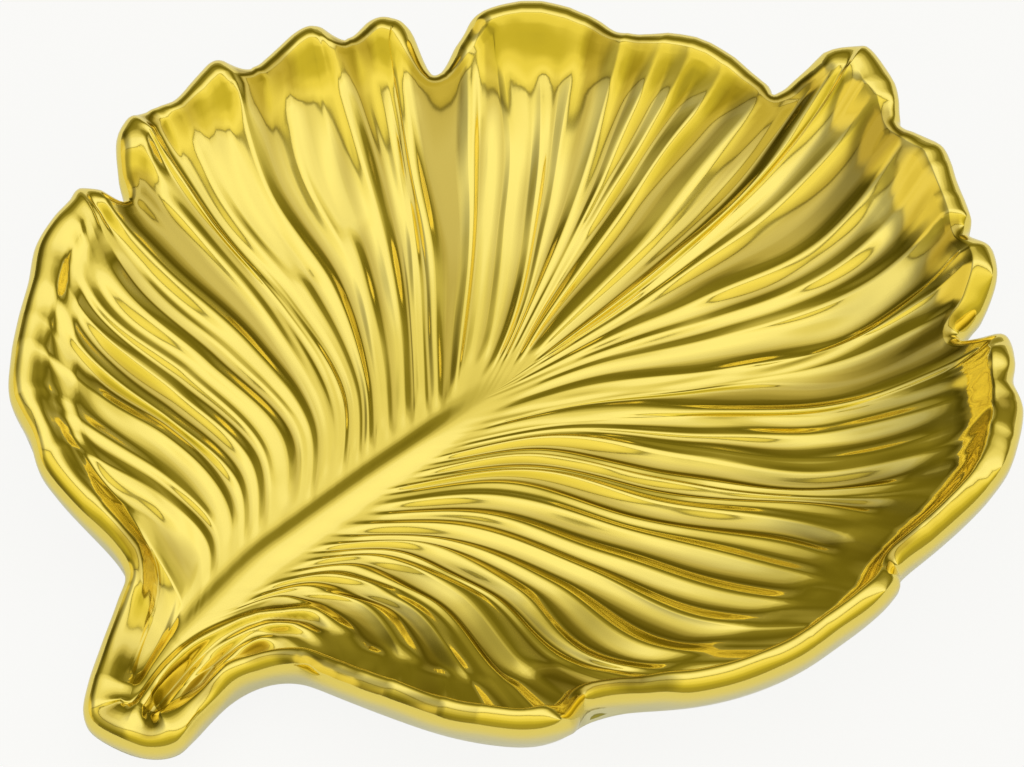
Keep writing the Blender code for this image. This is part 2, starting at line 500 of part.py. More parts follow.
def leaf_rows():
    """The dish as rows of points, one row a ring: from the midrib over the rim to the foot."""
    columns = np.arange(2 * SIDE_COLUMNS + 1)
    side = np.minimum(columns, 2 * SIDE_COLUMNS - columns)
    on_left = columns <= SIDE_COLUMNS
    share = np.linspace(0.0, 1.0, FLOOR_RINGS) ** RING_BIAS
    halves = (
        (LEFT_FOLD_SHARES, LEFT_ROOT_SHARES, 0.0, on_left),
        (RIGHT_FOLD_SHARES, RIGHT_ROOT_SHARES, float(len(RIM_SHARES)), ~on_left),
    )
    stations = np.zeros((len(columns), FLOOR_RINGS))
    for folds, roots, stem, chosen in halves:
        stations[chosen] = side_stations(folds, roots, stem, side[chosen], share)
    start_y = np.interp(side / SIDE_COLUMNS, *np.transpose(START_SHARES))
    line = np.asarray(MIDRIB_SHARES)
    start_x = spline(line[:, 1], line[:, 0], start_y)
    starts = plan(np.stack([start_x, start_y], -1))
    floor = growth_points(stations, starts, share)
    rim_station = stations[:, -1]
    inward = rim_inward(rim_station, LIP_REACH)
    shift = eased_ring(floor[:, -1], LIP_PASSES) - floor[:, -1]
    length = np.linalg.norm(shift, axis=-1, keepdims=True)
    shift *= np.minimum(1.0, MOST_SHIFT_SHARE * LIP_WIDTH / (length + WELD))
    floor += shift[:, None] * share[:, None] ** 2
    lift = np.zeros(floor.shape[:2])
    for folds, roots, stem, chosen in halves:
        places = side_places(folds, roots, stem)
        at = places if stem == 0.0 else (2 * SIDE_COLUMNS - places) % len(columns)
        lift[chosen] = fold_relief(folds, roots, stem, side[chosen], floor[at], share)
    lift += ridge_relief(floor)
    steps = np.linalg.norm(np.diff(floor, axis=1), axis=-1)
    depth = LIP_WIDTH + np.pad(np.cumsum(steps[:, ::-1], 1)[:, ::-1], ((0, 0), (0, 1)))
    heights = upper_side(floor, depth, lift, stations[:, -1:])
    rows = [np.column_stack([floor[:, k], heights[:, k]]) for k in range(FLOOR_RINGS)]

    rim = rim_point(rim_station)
    height = bowl(rim)
    crest = rim_form(rim_station)[2][:, None]
    inner_rings = LIP_RINGS // 2
    for part in np.linspace(0.0, 1.0, inner_rings + 1)[1:]:
        inset = 1 - part * (1 - crest)
        place = rim + inward * inset * LIP_WIDTH + shift * inset**2
        top = upper_side(place, inset[:, 0] * LIP_WIDTH, lift[:, -1], rim_station)
        rows.append(np.column_stack([place, top]))
    for turn in np.linspace(0.0, math.pi / 2, LIP_RINGS - inner_rings + 1)[1:-1]:
        inset = crest * (1 - math.sin(turn))
        place = rim + inward * inset * LIP_WIDTH + shift * inset**2
        rows.append(np.column_stack([place, top - LIP_DROP * (1 - math.cos(turn))]))
    depth = np.minimum(WALL_THICKNESS, WALL_DEPTH_SHARE * height)
    knots = np.arange(len(WALL_SHARES))
    for inset, down in spline(knots, WALL_SHARES, np.linspace(0, len(WALL_SHARES) - 1, WALL_RINGS + 1)):
        wall = rim + rim_inward(rim_station, WALL_REACH) * inset * depth[:, None]
        wall = eased_ring(wall, round(WALL_PASSES * inset))
        level = (top - LIP_DROP - down * depth)[:, None]
        rows.append(np.hstack([wall, eased_ring(level, round(LEVEL_PASSES * inset))]))

    steps = np.linalg.norm(np.diff(rim, axis=0), axis=-1)
    turn = 2 * math.pi * np.concatenate([[0.0], np.cumsum(steps)]) / steps.sum()
    circle = np.stack([-np.sin(turn), -np.cos(turn)], -1)
    centre = plan(BOWL_CENTRE_SHARES)
    foot_height = PAD_THICKNESS + PAD_CLEARANCE
    edge = centre + circle * (FOOT_RADIUS + FOOT_EDGE)
    for part in np.linspace(0.0, 1.0, UNDER_RINGS + 1)[1:]:
        place = eased_ring(wall, round(EASING_PASSES * part)) * (1 - part) + edge * part
        rows.append(np.column_stack([place, bowl(place) - BASE_THICKNESS]))
    for part in np.linspace(1.0, 0.0, FOOT_RINGS + 1):
        place = centre + circle * FOOT_RADIUS * part
        rows.append(np.column_stack([place, np.full(len(place), foot_height)]))
    return rows


def make_leaf():
    rows = leaf_rows()
    mesh = bpy.data.meshes.new("leaf_dish")
    sheet = bmesh.new()
    bmesh.ops.create_grid(sheet, x_segments=2 * SIDE_COLUMNS, y_segments=len(rows) - 1, size=1.0)
    for vertex in sheet.verts:
        column = round((vertex.co.x + 1) / 2 * 2 * SIDE_COLUMNS)
        row = round((vertex.co.y + 1) / 2 * (len(rows) - 1))
        vertex.co = rows[row][column]
    bmesh.ops.remove_doubles(sheet, verts=sheet.verts, dist=WELD)
    bmesh.ops.recalc_face_normals(sheet, faces=sheet.faces)
    sheet.to_mesh(mesh)
    sheet.free()
    mesh.shade_smooth()
    obj = bpy.data.objects.new("leaf_dish", mesh)
    bpy.context.collection.objects.link(obj)
    mesh.materials.append(make_material("gold_lustre_glaze", GOLD_COLOUR, 1.0, 0.12))
    return obj


def make_pad(index, material):
    mesh = bpy.data.meshes.new(f"bumper_pad_{index + 1}")
    disc = bmesh.new()
    bmesh.ops.create_cone(
        disc, cap_ends=True, segments=PAD_SIDES, radius1=PAD_RADIUS, radius2=PAD_RADIUS, depth=PAD_THICKNESS
    )
    disc.to_mesh(mesh)
    disc.free()
    mesh.shade_smooth()
    mesh.set_sharp_from_angle(angle=math.radians(40.0))
    mesh.materials.append(material)
    obj = bpy.data.objects.new(f"bumper_pad_{index + 1}", mesh)
    bpy.context.collection.objects.link(obj)
    centre = plan(BOWL_CENTRE_SHARES)
    turn = math.radians(45.0) + 2 * math.pi * index / PAD_COUNT
    obj.location = (
        centre[0] + PAD_CIRCLE_RADIUS * math.cos(turn),
        centre[1] + PAD_CIRCLE_RADIUS * math.sin(turn),
        PAD_THICKNESS / 2,
    )
    bevel = obj.modifiers.new("rounded edge", "BEVEL")
    bevel.width = PAD_EDGE
    bevel.segments = 3
    bevel.limit_method = "ANGLE"
    return obj


def main():
    clear_scene()
    make_leaf()
    rubber = make_material("clear_soft_rubber", PAD_COLOUR, 0.0, 0.35)
    for index in range(PAD_COUNT):
        make_pad(index, rubber)


# Values that shape the sheet of quads and the joins between its forms
LIP_REACH = 0.8
WALL_REACH = 1.6
WAY_STEPS = 25
RING_BIAS = 1.25
WELD = 1e-7
LIP_PASSES = 4
MOST_SHIFT_SHARE = 0.16
WALL_PASSES = 24
LEVEL_PASSES = 60
EASING_PASSES = 240
MIDRIB_STEPS = 60
MIDRIB_FADE_SHARES = (0.80, 1.00)
WALL_DEPTH_SHARE = 0.42
MOST_SPOON = 0.012
SPOON_GROWN_SHARES = (0.15, 0.50)
TOP_STATION = 43.9
LIFT_REACH = 1.0
LIFT_EDGE_SHARE = 0.35
OUTLINE_STEPS = 2000
OUTLINE_STATIONS = np.linspace(0.0, len(RIM_SHARES), OUTLINE_STEPS)
OUTLINE = spline(np.arange(len(RIM_SHARES)), RIM_SHARES, OUTLINE_STATIONS, len(RIM_SHARES))
SPAN_SHARES = np.ptp(OUTLINE, axis=0)
MIDDLE_SHARES = OUTLINE.min(axis=0) + SPAN_SHARES / 2

main()
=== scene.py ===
"""A leaf-shaped soap dish of slip-cast ceramic under a mirror gold lustre, on its cushion feet.

The dish is one skin of quads. Its columns leave the midrib, follow the veins out to the rim, roll
over the lip, go down the outer wall and meet again under the foot. Sizes are in metres, and the
tables of points are shares of the leaf's whole width and length.
"""

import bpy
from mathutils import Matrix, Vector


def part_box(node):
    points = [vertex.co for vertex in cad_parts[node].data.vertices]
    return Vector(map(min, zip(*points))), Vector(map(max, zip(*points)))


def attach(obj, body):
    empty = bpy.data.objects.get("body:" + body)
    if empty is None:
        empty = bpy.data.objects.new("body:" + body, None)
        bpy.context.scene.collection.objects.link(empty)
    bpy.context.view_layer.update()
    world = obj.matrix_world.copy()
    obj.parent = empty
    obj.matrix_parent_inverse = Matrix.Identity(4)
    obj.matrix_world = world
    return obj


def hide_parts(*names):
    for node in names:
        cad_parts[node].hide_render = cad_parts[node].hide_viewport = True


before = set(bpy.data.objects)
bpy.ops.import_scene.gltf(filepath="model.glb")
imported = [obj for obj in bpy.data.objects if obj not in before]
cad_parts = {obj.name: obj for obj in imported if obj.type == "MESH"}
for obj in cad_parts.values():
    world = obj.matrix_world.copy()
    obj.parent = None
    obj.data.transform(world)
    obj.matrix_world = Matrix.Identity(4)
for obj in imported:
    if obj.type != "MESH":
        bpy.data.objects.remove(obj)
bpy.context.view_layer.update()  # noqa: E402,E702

import logging
import math
from dataclasses import dataclass, field
from enum import Enum

import bpy
import numpy as np
from mathutils import Vector

LOG = logging.getLogger("leaf_dish")

# The rim seen from above, clockwise from the end of the stem, as shares of width and length.
# A station is a place along this list, so station 18 is the notch on the left.
RIM_SHARES = (
    (0.012, -0.535), (-0.015, -0.531), (-0.040, -0.507), (-0.066, -0.474), (-0.089, -0.439),
    (-0.103, -0.417), (-0.126, -0.413), (-0.171, -0.421), (-0.225, -0.423), (-0.262, -0.411),
    (-0.310, -0.400), (-0.347, -0.373), (-0.381, -0.339), (-0.404, -0.312), (-0.435, -0.282),
    (-0.451, -0.250), (-0.460, -0.224), (-0.469, -0.201), (-0.444, -0.173), (-0.466, -0.159),
    (-0.498, -0.137), (-0.512, -0.116), (-0.514, -0.098), (-0.504, -0.062), (-0.512, -0.024),
    (-0.515, 0.005), (-0.495, 0.033), (-0.495, 0.066), (-0.493, 0.098), (-0.484, 0.118),
    (-0.462, 0.136), (-0.459, 0.165), (-0.445, 0.187), (-0.422, 0.196), (-0.379, 0.194),
    (-0.385, 0.235), (-0.388, 0.258), (-0.372, 0.293), (-0.339, 0.328), (-0.289, 0.355),
    (-0.256, 0.365), (-0.214, 0.399), (-0.159, 0.421), (-0.094, 0.430), (-0.077, 0.432),
    (-0.061, 0.483), (-0.039, 0.507), (-0.014, 0.512), (0.031, 0.500), (0.061, 0.480),
    (0.076, 0.474), (0.126, 0.480), (0.171, 0.460), (0.211, 0.441), (0.226, 0.428),
    (0.256, 0.427), (0.286, 0.406), (0.303, 0.373), (0.304, 0.346), (0.343, 0.363),
    (0.375, 0.344), (0.394, 0.324), (0.423, 0.309), (0.450, 0.274), (0.467, 0.241),
    (0.474, 0.198), (0.469, 0.146), (0.462, 0.113), (0.475, 0.094), (0.481, 0.061),
    (0.477, 0.018), (0.471, -0.031), (0.455, -0.077), (0.426, -0.125), (0.392, -0.151),
    (0.350, -0.188), (0.363, -0.226), (0.351, -0.260), (0.318, -0.287), (0.275, -0.312),
    (0.229, -0.327), (0.186, -0.342), (0.135, -0.356), (0.106, -0.362), (0.082, -0.381),
    (0.071, -0.412), (0.076, -0.449), (0.085, -0.489), (0.059, -0.518),
)

# Lines of growth: the station that a line reaches, and three points on its way from the midrib,
# as shares of width and length.
GROWTH_SHARES = (
    (0.0, (0.020, -0.500), (0.018, -0.512), (0.015, -0.524)),
    (2.0, (0.000, -0.478), (-0.008, -0.484), (-0.018, -0.492)),
    (4.0, (-0.023, -0.435), (-0.042, -0.433), (-0.062, -0.432)),
    (5.5, (-0.045, -0.390), (-0.070, -0.390), (-0.093, -0.400)),
    (6.6, (-0.060, -0.360), (-0.100, -0.360), (-0.130, -0.385)),
    (8.0, (-0.076, -0.341), (-0.136, -0.345), (-0.187, -0.384)),
    (10.4, (-0.097, -0.302), (-0.183, -0.312), (-0.268, -0.355)),
    (12.7, (-0.124, -0.260), (-0.225, -0.274), (-0.317, -0.320)),
    (14.0, (-0.134, -0.236), (-0.243, -0.251), (-0.344, -0.296)),
    (16.2, (-0.131, -0.190), (-0.246, -0.198), (-0.351, -0.229)),
    (18.0, (-0.126, -0.160), (-0.237, -0.144), (-0.347, -0.158)),
    (22.3, (-0.139, -0.114), (-0.262, -0.093), (-0.387, -0.100)),
    (26.0, (-0.139, -0.082), (-0.252, -0.038), (-0.376, -0.018)),
    (30.0, (-0.138, -0.029), (-0.237, 0.034), (-0.343, 0.090)),
    (34.0, (-0.120, 0.007), (-0.198, 0.072), (-0.277, 0.128)),
    (37.5, (-0.096, 0.074), (-0.175, 0.160), (-0.258, 0.240)),
    (40.5, (-0.087, 0.098), (-0.136, 0.189), (-0.184, 0.282)),
    (42.0, (-0.077, 0.105), (-0.116, 0.208), (-0.140, 0.307)),
    (44.0, (-0.043, 0.115), (-0.050, 0.217), (-0.054, 0.320)),
    (47.0, (-0.019, 0.137), (-0.012, 0.260), (-0.008, 0.382)),
    (49.0, (-0.008, 0.120), (0.015, 0.235), (0.047, 0.352)),
    (52.0, (0.016, 0.107), (0.083, 0.220), (0.150, 0.334)),
    (55.0, (0.040, 0.073), (0.124, 0.185), (0.210, 0.295)),
    (58.0, (0.040, 0.033), (0.132, 0.135), (0.228, 0.233)),
    (61.0, (0.053, 0.018), (0.163, 0.127), (0.294, 0.216)),
    (63.0, (0.062, -0.021), (0.186, 0.079), (0.323, 0.157)),
    (67.0, (0.063, -0.068), (0.195, 0.008), (0.330, 0.088)),
    (69.6, (0.078, -0.127), (0.212, -0.068), (0.352, -0.026)),
    (71.5, (0.062, -0.172), (0.187, -0.134), (0.325, -0.134)),
    (75.0, (0.038, -0.239), (0.143, -0.188), (0.264, -0.199)),
    (78.0, (0.024, -0.282), (0.118, -0.233), (0.228, -0.252)),
    (81.5, (0.012, -0.340), (0.066, -0.289), (0.140, -0.303)),
    (84.0, (0.020, -0.405), (0.040, -0.390), (0.062, -0.385)),
    (86.0, (0.030, -0.461), (0.048, -0.459), (0.066, -0.457)),
    (87.5, (0.028, -0.482), (0.042, -0.485), (0.058, -0.492)),
)

# The midrib from the stem to the heart of the leaf, and where the columns start along it
MIDRIB_SHARES = (
    (0.020, -0.500), (-0.001, -0.450), (-0.013, -0.400), (-0.025, -0.350), (-0.034, -0.300),
    (-0.036, -0.250), (-0.037, -0.200), (-0.037, -0.150), (-0.035, -0.100), (-0.035, -0.050),
    (-0.035, 0.030),
)
START_SHARES = (
    (0.00, -0.482), (0.10, -0.440), (0.20, -0.390), (0.30, -0.325), (0.40, -0.260), (0.50, -0.205),
    (0.60, -0.155), (0.70, -0.100), (0.80, -0.050), (0.90, -0.008), (1.00, 0.030),
)

# Where lines of growth leave the midrib: station, and share of the length
LEFT_ROOT_SHARES = (
    (0.0, -0.488), (2.0, -0.480), (4.0, -0.440), (5.5, -0.405), (8.0, -0.375), (10.4, -0.345),
    (12.7, -0.310), (14.0, -0.285), (16.2, -0.250), (18.0, -0.225), (22.3, -0.185), (26.0, -0.150),
    (30.0, -0.105), (34.0, -0.060), (37.5, -0.025), (40.5, 0.000), (43.9, 0.030),
)
RIGHT_ROOT_SHARES = (
    (89.0, -0.488), (87.5, -0.480), (86.0, -0.460), (84.0, -0.435), (81.5, -0.405), (78.0, -0.370),
    (75.0, -0.330), (71.5, -0.275), (69.6, -0.225), (67.0, -0.190), (63.0, -0.145), (61.0, -0.110),
    (58.0, -0.085), (55.0, -0.045), (52.0, -0.010), (49.0, 0.010), (43.9, 0.030),
)

# Folds from the stem to the top. A fold is a cord with one steep side. Its row has the stations of
# the crest and of the crease at the steep side's foot, each at the inner fifth, the middle and the
# outer part of the way, then where it begins and ends, and its share of the full height.
LEFT_FOLD_SHARES = (
    ((1.0, 1.0, 1.0), (2.0, 2.0, 2.0), 0.3, 0.9, 0.0),
    ((5.5, 5.4, 5.5), (6.3, 6.2, 6.9), 0.3, 0.9, 0.55),
    ((8.6, 8.1, 8.2), (9.3, 8.8, 8.9), 0.12, 0.9, 0.78),
    ((9.6, 9.3, 9.5), (9.9, 9.7, 9.9), 0.3, 0.92, 0.62),
    ((10.9, 11.1, 11.2), (11.5, 11.7, 11.9), 0.18, 0.82, 0.78),
    ((12.25, 11.9, 12.3), (12.8, 12.5, 12.9), 0.08, 0.92, 0.86),
    ((13.6, 13.2, 13.5), (14.2, 13.9, 14.15), 0.06, 0.94, 0.86),
    ((14.5, 14.4, 14.5), (14.75, 14.7, 14.85), 0.15, 0.88, 0.47),
    ((15.6, 15.55, 15.8), (16.2, 16.15, 16.35), 0.08, 0.92, 0.86),
    ((16.6, 16.6, 16.8), (16.85, 16.9, 17.05), 0.3, 0.85, 0.39),
    ((17.3, 17.5, 17.5), (17.85, 18.1, 18.15), 0.06, 1.2, 0.89),
    ((18.5, 18.7, 18.8), (18.1, 18.3, 18.35), 0.1, 0.98, 0.59),
    ((19.3, 19.3, 19.4), (19.7, 19.7, 19.8), 0.15, 0.6, 0.34),
    ((21.4, 21.4, 21.6), (22.1, 22.1, 22.2), 0.06, 1.1, 1.05),
    ((22.9, 22.9, 22.8), (22.4, 22.4, 22.4), 0.1, 0.98, 0.7),
    ((23.5, 23.6, 23.6), (24.1, 24.2, 24.1), 0.06, 0.6, 0.8),
    ((25.1, 25.4, 25.2), (25.9, 26.15, 25.95), 0.06, 1.2, 1.1),
    ((26.6, 26.8, 26.5), (26.15, 26.35, 26.1), 0.1, 0.98, 0.8),
    ((27.3, 27.4, 27.6), (27.9, 28.0, 28.1), 0.06, 0.66, 0.9),
    ((29.15, 29.3, 29.2), (29.95, 30.1, 29.95), 0.06, 1.2, 1.15),
    ((30.65, 30.75, 30.5), (30.2, 30.3, 30.1), 0.1, 0.98, 0.9),
    ((31.4, 31.5, 31.5), (31.9, 32.1, 32.0), 0.06, 0.7, 1.0),
    ((33.1, 33.2, 33.2), (33.85, 33.95, 33.9), 0.06, 1.2, 1.25),
    ((34.75, 34.8, 34.7), (34.15, 34.2, 34.1), 0.08, 1.05, 1.1),
    ((35.4, 35.4, 35.4), (35.0, 35.0, 35.0), 0.15, 0.89, 0.6),
    ((36.4, 36.3, 36.3), (35.9, 35.85, 35.85), 0.15, 0.97, 0.9),
    ((37.7, 37.9, 37.8), (36.9, 37.3, 37.3), 0.1, 0.94, 1.0),
    ((38.6, 38.85, 38.8), (38.1, 38.35, 38.4), 0.12, 0.97, 0.9),
    ((39.8, 40.2, 40.1), (39.1, 39.6, 39.6), 0.1, 1.04, 1.0),
    ((40.8, 41.05, 40.9), (40.3, 40.6, 40.45), 0.12, 1.01, 0.9),
    ((41.5, 41.6, 41.5), (41.2, 41.3, 41.15), 0.5, 1.02, 0.8),
    ((42.4, 42.5, 42.3), (41.7, 42.0, 41.8), 0.07, 1.01, 1.1),
    ((43.5, 43.6, 43.4), (42.7, 42.95, 42.8), 0.1, 1.04, 1.0),
)
RIGHT_FOLD_SHARES = (
    ((88.0, 88.0, 88.0), (87.0, 87.0, 87.0), 0.3, 0.9, 0.0),
    ((81.5, 82.5, 82.6), (81.9, 82.9, 83.0), 0.3, 0.7, 0.5),
    ((79.5, 81.5, 81.7), (80.2, 82.0, 82.1), 0.25, 0.75, 0.6),
    ((78.0, 80.0, 80.4), (79.2, 81.0, 81.2), 0.1, 0.84, 1.0),
    ((75.8, 77.9, 78.3), (77.0, 78.8, 79.1), 0.08, 0.86, 1.2),
    ((74.5, 76.4, 76.8), (75.0, 76.8, 77.1), 0.12, 0.84, 0.6),
    ((73.2, 74.9, 75.3), (74.0, 75.8, 76.0), 0.08, 0.88, 1.2),
    ((72.5, 73.7, 74.2), (72.8, 74.0, 74.5), 0.12, 0.84, 0.6),
    ((71.5, 72.2, 72.6), (72.2, 73.2, 73.4), 0.06, 0.88, 1.2),
    ((70.9, 70.95, 71.1), (71.3, 71.4, 71.6), 0.1, 0.9, 0.9),
    ((69.6, 70.0, 70.2), (70.5, 70.45, 70.6), 0.05, 0.9, 1.0),
    ((68.7, 69.05, 69.2), (69.1, 69.5, 69.6), 0.08, 0.92, 0.9),
    ((67.7, 67.75, 68.1), (68.3, 68.3, 68.6), 0.06, 0.93, 1.0),
    ((66.8, 67.2, 67.4), (67.1, 67.4, 67.6), 0.35, 0.93, 0.4),
    ((64.8, 66.15, 66.8), (66.2, 66.9, 67.1), 0.05, 0.93, 1.1),
    ((63.9, 65.4, 65.8), (64.1, 65.6, 66.1), 0.55, 0.93, 0.4),
    ((62.5, 64.2, 65.0), (63.2, 65.0, 65.4), 0.06, 0.92, 1.1),
    ((62.2, 63.8, 64.3), (62.4, 64.0, 64.6), 0.55, 0.93, 0.4),
    ((61.3, 62.55, 62.9), (61.9, 63.2, 63.3), 0.06, 0.95, 1.1),
    ((61.0, 62.05, 62.0), (60.9, 61.75, 61.6), 0.3, 0.95, 0.6),
    ((60.6, 61.4, 60.9), (60.0, 60.9, 60.4), 0.08, 0.97, 0.8),
    ((59.0, 59.6, 59.4), (59.3, 60.0, 59.7), 0.45, 0.95, 0.26),
    ((57.4, 58.0, 58.8), (56.6, 57.2, 58.0), 0.1, 1.2, 0.72),
    ((56.0, 56.4, 57.4), (56.4, 57.0, 57.9), 0.15, 0.98, 0.42),
    ((54.1, 54.9, 55.9), (53.3, 54.05, 55.1), 0.08, 1.01, 0.64),
    ((52.3, 52.75, 53.1), (51.7, 52.15, 52.5), 0.12, 1.04, 0.64),
    ((50.8, 51.4, 51.6), (50.3, 50.9, 51.1), 0.2, 0.92, 0.64),
    ((49.5, 50.1, 50.3), (48.7, 49.45, 49.7), 0.06, 1.03, 0.68),
    ((47.4, 48.4, 48.6), (46.7, 47.8, 48.0), 0.1, 0.98, 0.72),
    ((46.0, 46.5, 46.6), (45.5, 45.95, 46.05), 0.12, 0.98, 0.8),
    ((45.1, 45.1, 44.9), (44.4, 44.4, 44.2), 0.08, 1.2, 1.2),
)
# Where both sides meet, how rings crowd towards the midrib, where the fold tables' stations lie,
# and how folds grow, end, stand steep and are hollowed between
TOP_STATION = 43.9
RING_BIAS = 1.25
INNER_SHARE = 0.20
OUTER_SHARE = 0.85
FOLD_GROWN_SHARE = 0.14
FOLD_END_SHARE = 0.09
STRAIGHT_SHARE = 0.7
SPOON_SHARE = 0.11
SPOON_GROWN_SHARES = (0.15, 0.50)
MOST_SPOON = 0.012
MIDRIB_FADE_SHARES = (0.80, 1.00)
CORD_GROWN_SHARE = 0.25

# Cords that run down beside the midrib into the stem, as shares of width and length
STEM_CORD_SHARES = (
    (
        (0.100, -0.300), (0.055, -0.302), (0.024, -0.335), (0.008, -0.385), (0.008, -0.440),
        (0.030, -0.500), (0.040, -0.545),
    ),
    (
        (0.110, -0.322), (0.062, -0.322), (0.033, -0.352), (0.022, -0.395), (0.030, -0.440),
        (0.054, -0.495), (0.064, -0.535),
    ),
    (
        (0.066, -0.348), (0.044, -0.360), (0.040, -0.395), (0.052, -0.435), (0.076, -0.485),
        (0.090, -0.515),
    ),
)

# The lip along the rim: station, share of the full rise, how far in the rise begins, and how far in
# the crest lies, both as shares of the lip's width. Notches lie low; the near lip is a rolled cord
# where the far one is a wide spoon with a thin edge.
RIM_FORM_SHARES = (
    (0.0, 0.15, 1.3, 0.5), (1.5, 0.4, 1.3, 0.52), (4.0, 0.6, 1.3, 0.55), (5.5, 0.6, 1.3, 0.52),
    (7.5, 0.85, 1.5, 0.52), (9.0, 0.9, 1.4, 0.54), (12.0, 0.85, 1.8, 0.6), (16.8, 0.75, 1.9, 0.66),
    (18.2, 0.1, 1.8, 0.66), (20.0, 0.7, 2.1, 0.7), (22.3, 0.35, 2.0, 0.7), (24.2, 0.7, 2.2, 0.74),
    (26.0, 0.25, 2.1, 0.74), (28.2, 0.7, 2.2, 0.74), (30.0, 0.3, 2.1, 0.74), (32.0, 0.65, 2.2, 0.74),
    (34.1, 0.0, 1.8, 0.74), (36.8, 0.7, 2.4, 0.74), (40.0, 0.4, 2.3, 0.74), (42.0, 0.7, 2.4, 0.74),
    (43.9, 0.0, 1.8, 0.74), (46.8, 0.75, 2.6, 0.74), (50.0, 0.45, 2.5, 0.74), (52.0, 0.7, 2.5, 0.74),
    (54.3, 0.45, 2.4, 0.74), (56.0, 0.65, 2.2, 0.74), (58.0, 0.0, 1.6, 0.74), (60.0, 0.8, 2.0, 0.74),
    (61.6, 0.75, 1.7, 0.72), (63.4, 1.2, 1.4, 0.68), (65.4, 1.3, 1.1, 0.62), (67.2, 0.85, 1.0, 0.6),
    (68.8, 1.3, 1.0, 0.58), (71.0, 1.5, 1.0, 0.58), (73.6, 1.65, 1.0, 0.58), (75.1, 1.0, 1.0, 0.56),
    (76.6, 1.75, 1.0, 0.58), (79.0, 1.65, 1.0, 0.58), (81.0, 1.5, 1.0, 0.58), (82.6, 1.2, 1.0, 0.57),
    (84.2, 0.75, 1.0, 0.55), (86.5, 0.45, 1.1, 0.52),
)
# The lip's rings inside its crest, the reach at which it is all spoon, where the folds fade into
# it, and how far its inner foot may be eased, as shares of its rings and its width
LIP_INNER_SHARE = 0.35
FULL_SPOON_REACH = 0.8
LIFT_REACH = 1.0
LIFT_EDGE_SHARE = 0.35
MOST_SHIFT_SHARE = 0.16

# The outer wall below the lip: shares of the wall's thickness inwards and downwards
WALL_SHARES = ((0.00, 0.00), (0.02, 0.27), (0.08, 0.53), (0.20, 0.78), (0.45, 0.98), (0.80, 1.10))
WALL_DEPTH_SHARE = 0.42
WALL_TURN_REACH = 1.6
FOOT_RING_SHARES = (1.0, 0.5, 0.0)

# The bowl: its middle, how it rises, and how it stays low towards the stem
BOWL_CENTRE_SHARES = (0.0, 0.023)
BOWL_RADIUS_SHARE = 0.496
BOWL_POWER = 2.7
NEAR_POWER = 0.1
NEAR_TURN = math.radians(48.0)
NEAR_DROP_SHARE = 0.25
LOW_SIDE_DROP_SHARE = 0.60
LOW_SIDE_ANGLE = math.radians(24.0)
DENT_SHARES = (-0.262, -0.300)

# The stem: where its channel runs, where the bowl turns into it, and how long it climbs
STEM_CENTRE_SHARE = 0.022
STEM_SPREAD_SHARE = 0.104
NECK_SHARE = -0.387
NECK_BLEND_SHARE = 0.020
STEM_SHARE = 0.15
MOST_EXPONENT = 40.0

# Easing passes, counted for the columns that the CAD solid has on each side
SOLID_COLUMNS = 80
RIM_PASSES = 4
# Passes of the mask for the shade painted into the creases
CREASE_SHADE_PASSES = 3
WALL_PASSES = 24
LEVEL_PASSES = 60
UNDER_PASSES = 240

# The unevenness of the casting: its waves' seed, number, widths in stations and lengths in metres
WAVE_SEED = 7
WAVE_COUNT = 16
WAVE_STATIONS = (1.2, 3.0)
WAVE_LENGTHS = (0.012, 0.035)

# The room's light over the arc from the horizon behind the photographer (0 degrees), past the
# zenith (90), to the horizon beyond the dish (180): degrees, level and warmth. The two ends come
# first, as the ramp is made with them.
ROOM_LEVELS = (
    (0.0, 0.34, 0.7), (180.0, 0.4, 0.4),
    (20.0, 0.4, 0.85), (36.0, 0.6, 0.85), (50.0, 0.86, 0.7), (66.0, 0.98, 0.55), (73.0, 0.84, 0.6),
    (75.5, 0.22, 0.7), (78.0, 0.98, 0.2), (88.0, 1.08, 0.0), (104.0, 1.02, 0.0), (119.0, 0.84, 0.3),
    (130.0, 0.58, 0.5), (142.0, 0.26, 0.8), (160.0, 0.16, 0.9), (170.0, 0.28, 0.7),
)
WARM_GREEN_LOSS = 0.12
WARM_BLUE_LOSS = 0.95

WHITE = (1.0, 1.0, 1.0, 1.0)
MILLIMETRE = 0.001
TINY = 1e-12
MERGE_GAP = 1e-6
OUTLINE_SAMPLES = 2000
WAY_SAMPLES = 33
LINE_SAMPLES = 60

Array = np.ndarray
Socket = bpy.types.NodeSocket
Tree = bpy.types.NodeTree


class View(Enum):
    """Where the photographer stands: compass turn from the stem's side, and height."""

    TURN = math.radians(48.0)
    HEIGHT = math.radians(57.0)


def between(u: Array, start: Array, stop: Array, lead: Array, tail: Array) -> Array:
    """The cubic from start to stop at shares u of the way: it leaves along lead and ends along tail."""
    first = start * (2 * u**3 - 3 * u**2 + 1) + lead * (u**3 - 2 * u**2 + u)
    return first + stop * (3 * u**2 - 2 * u**3) + tail * (u**3 - u**2)


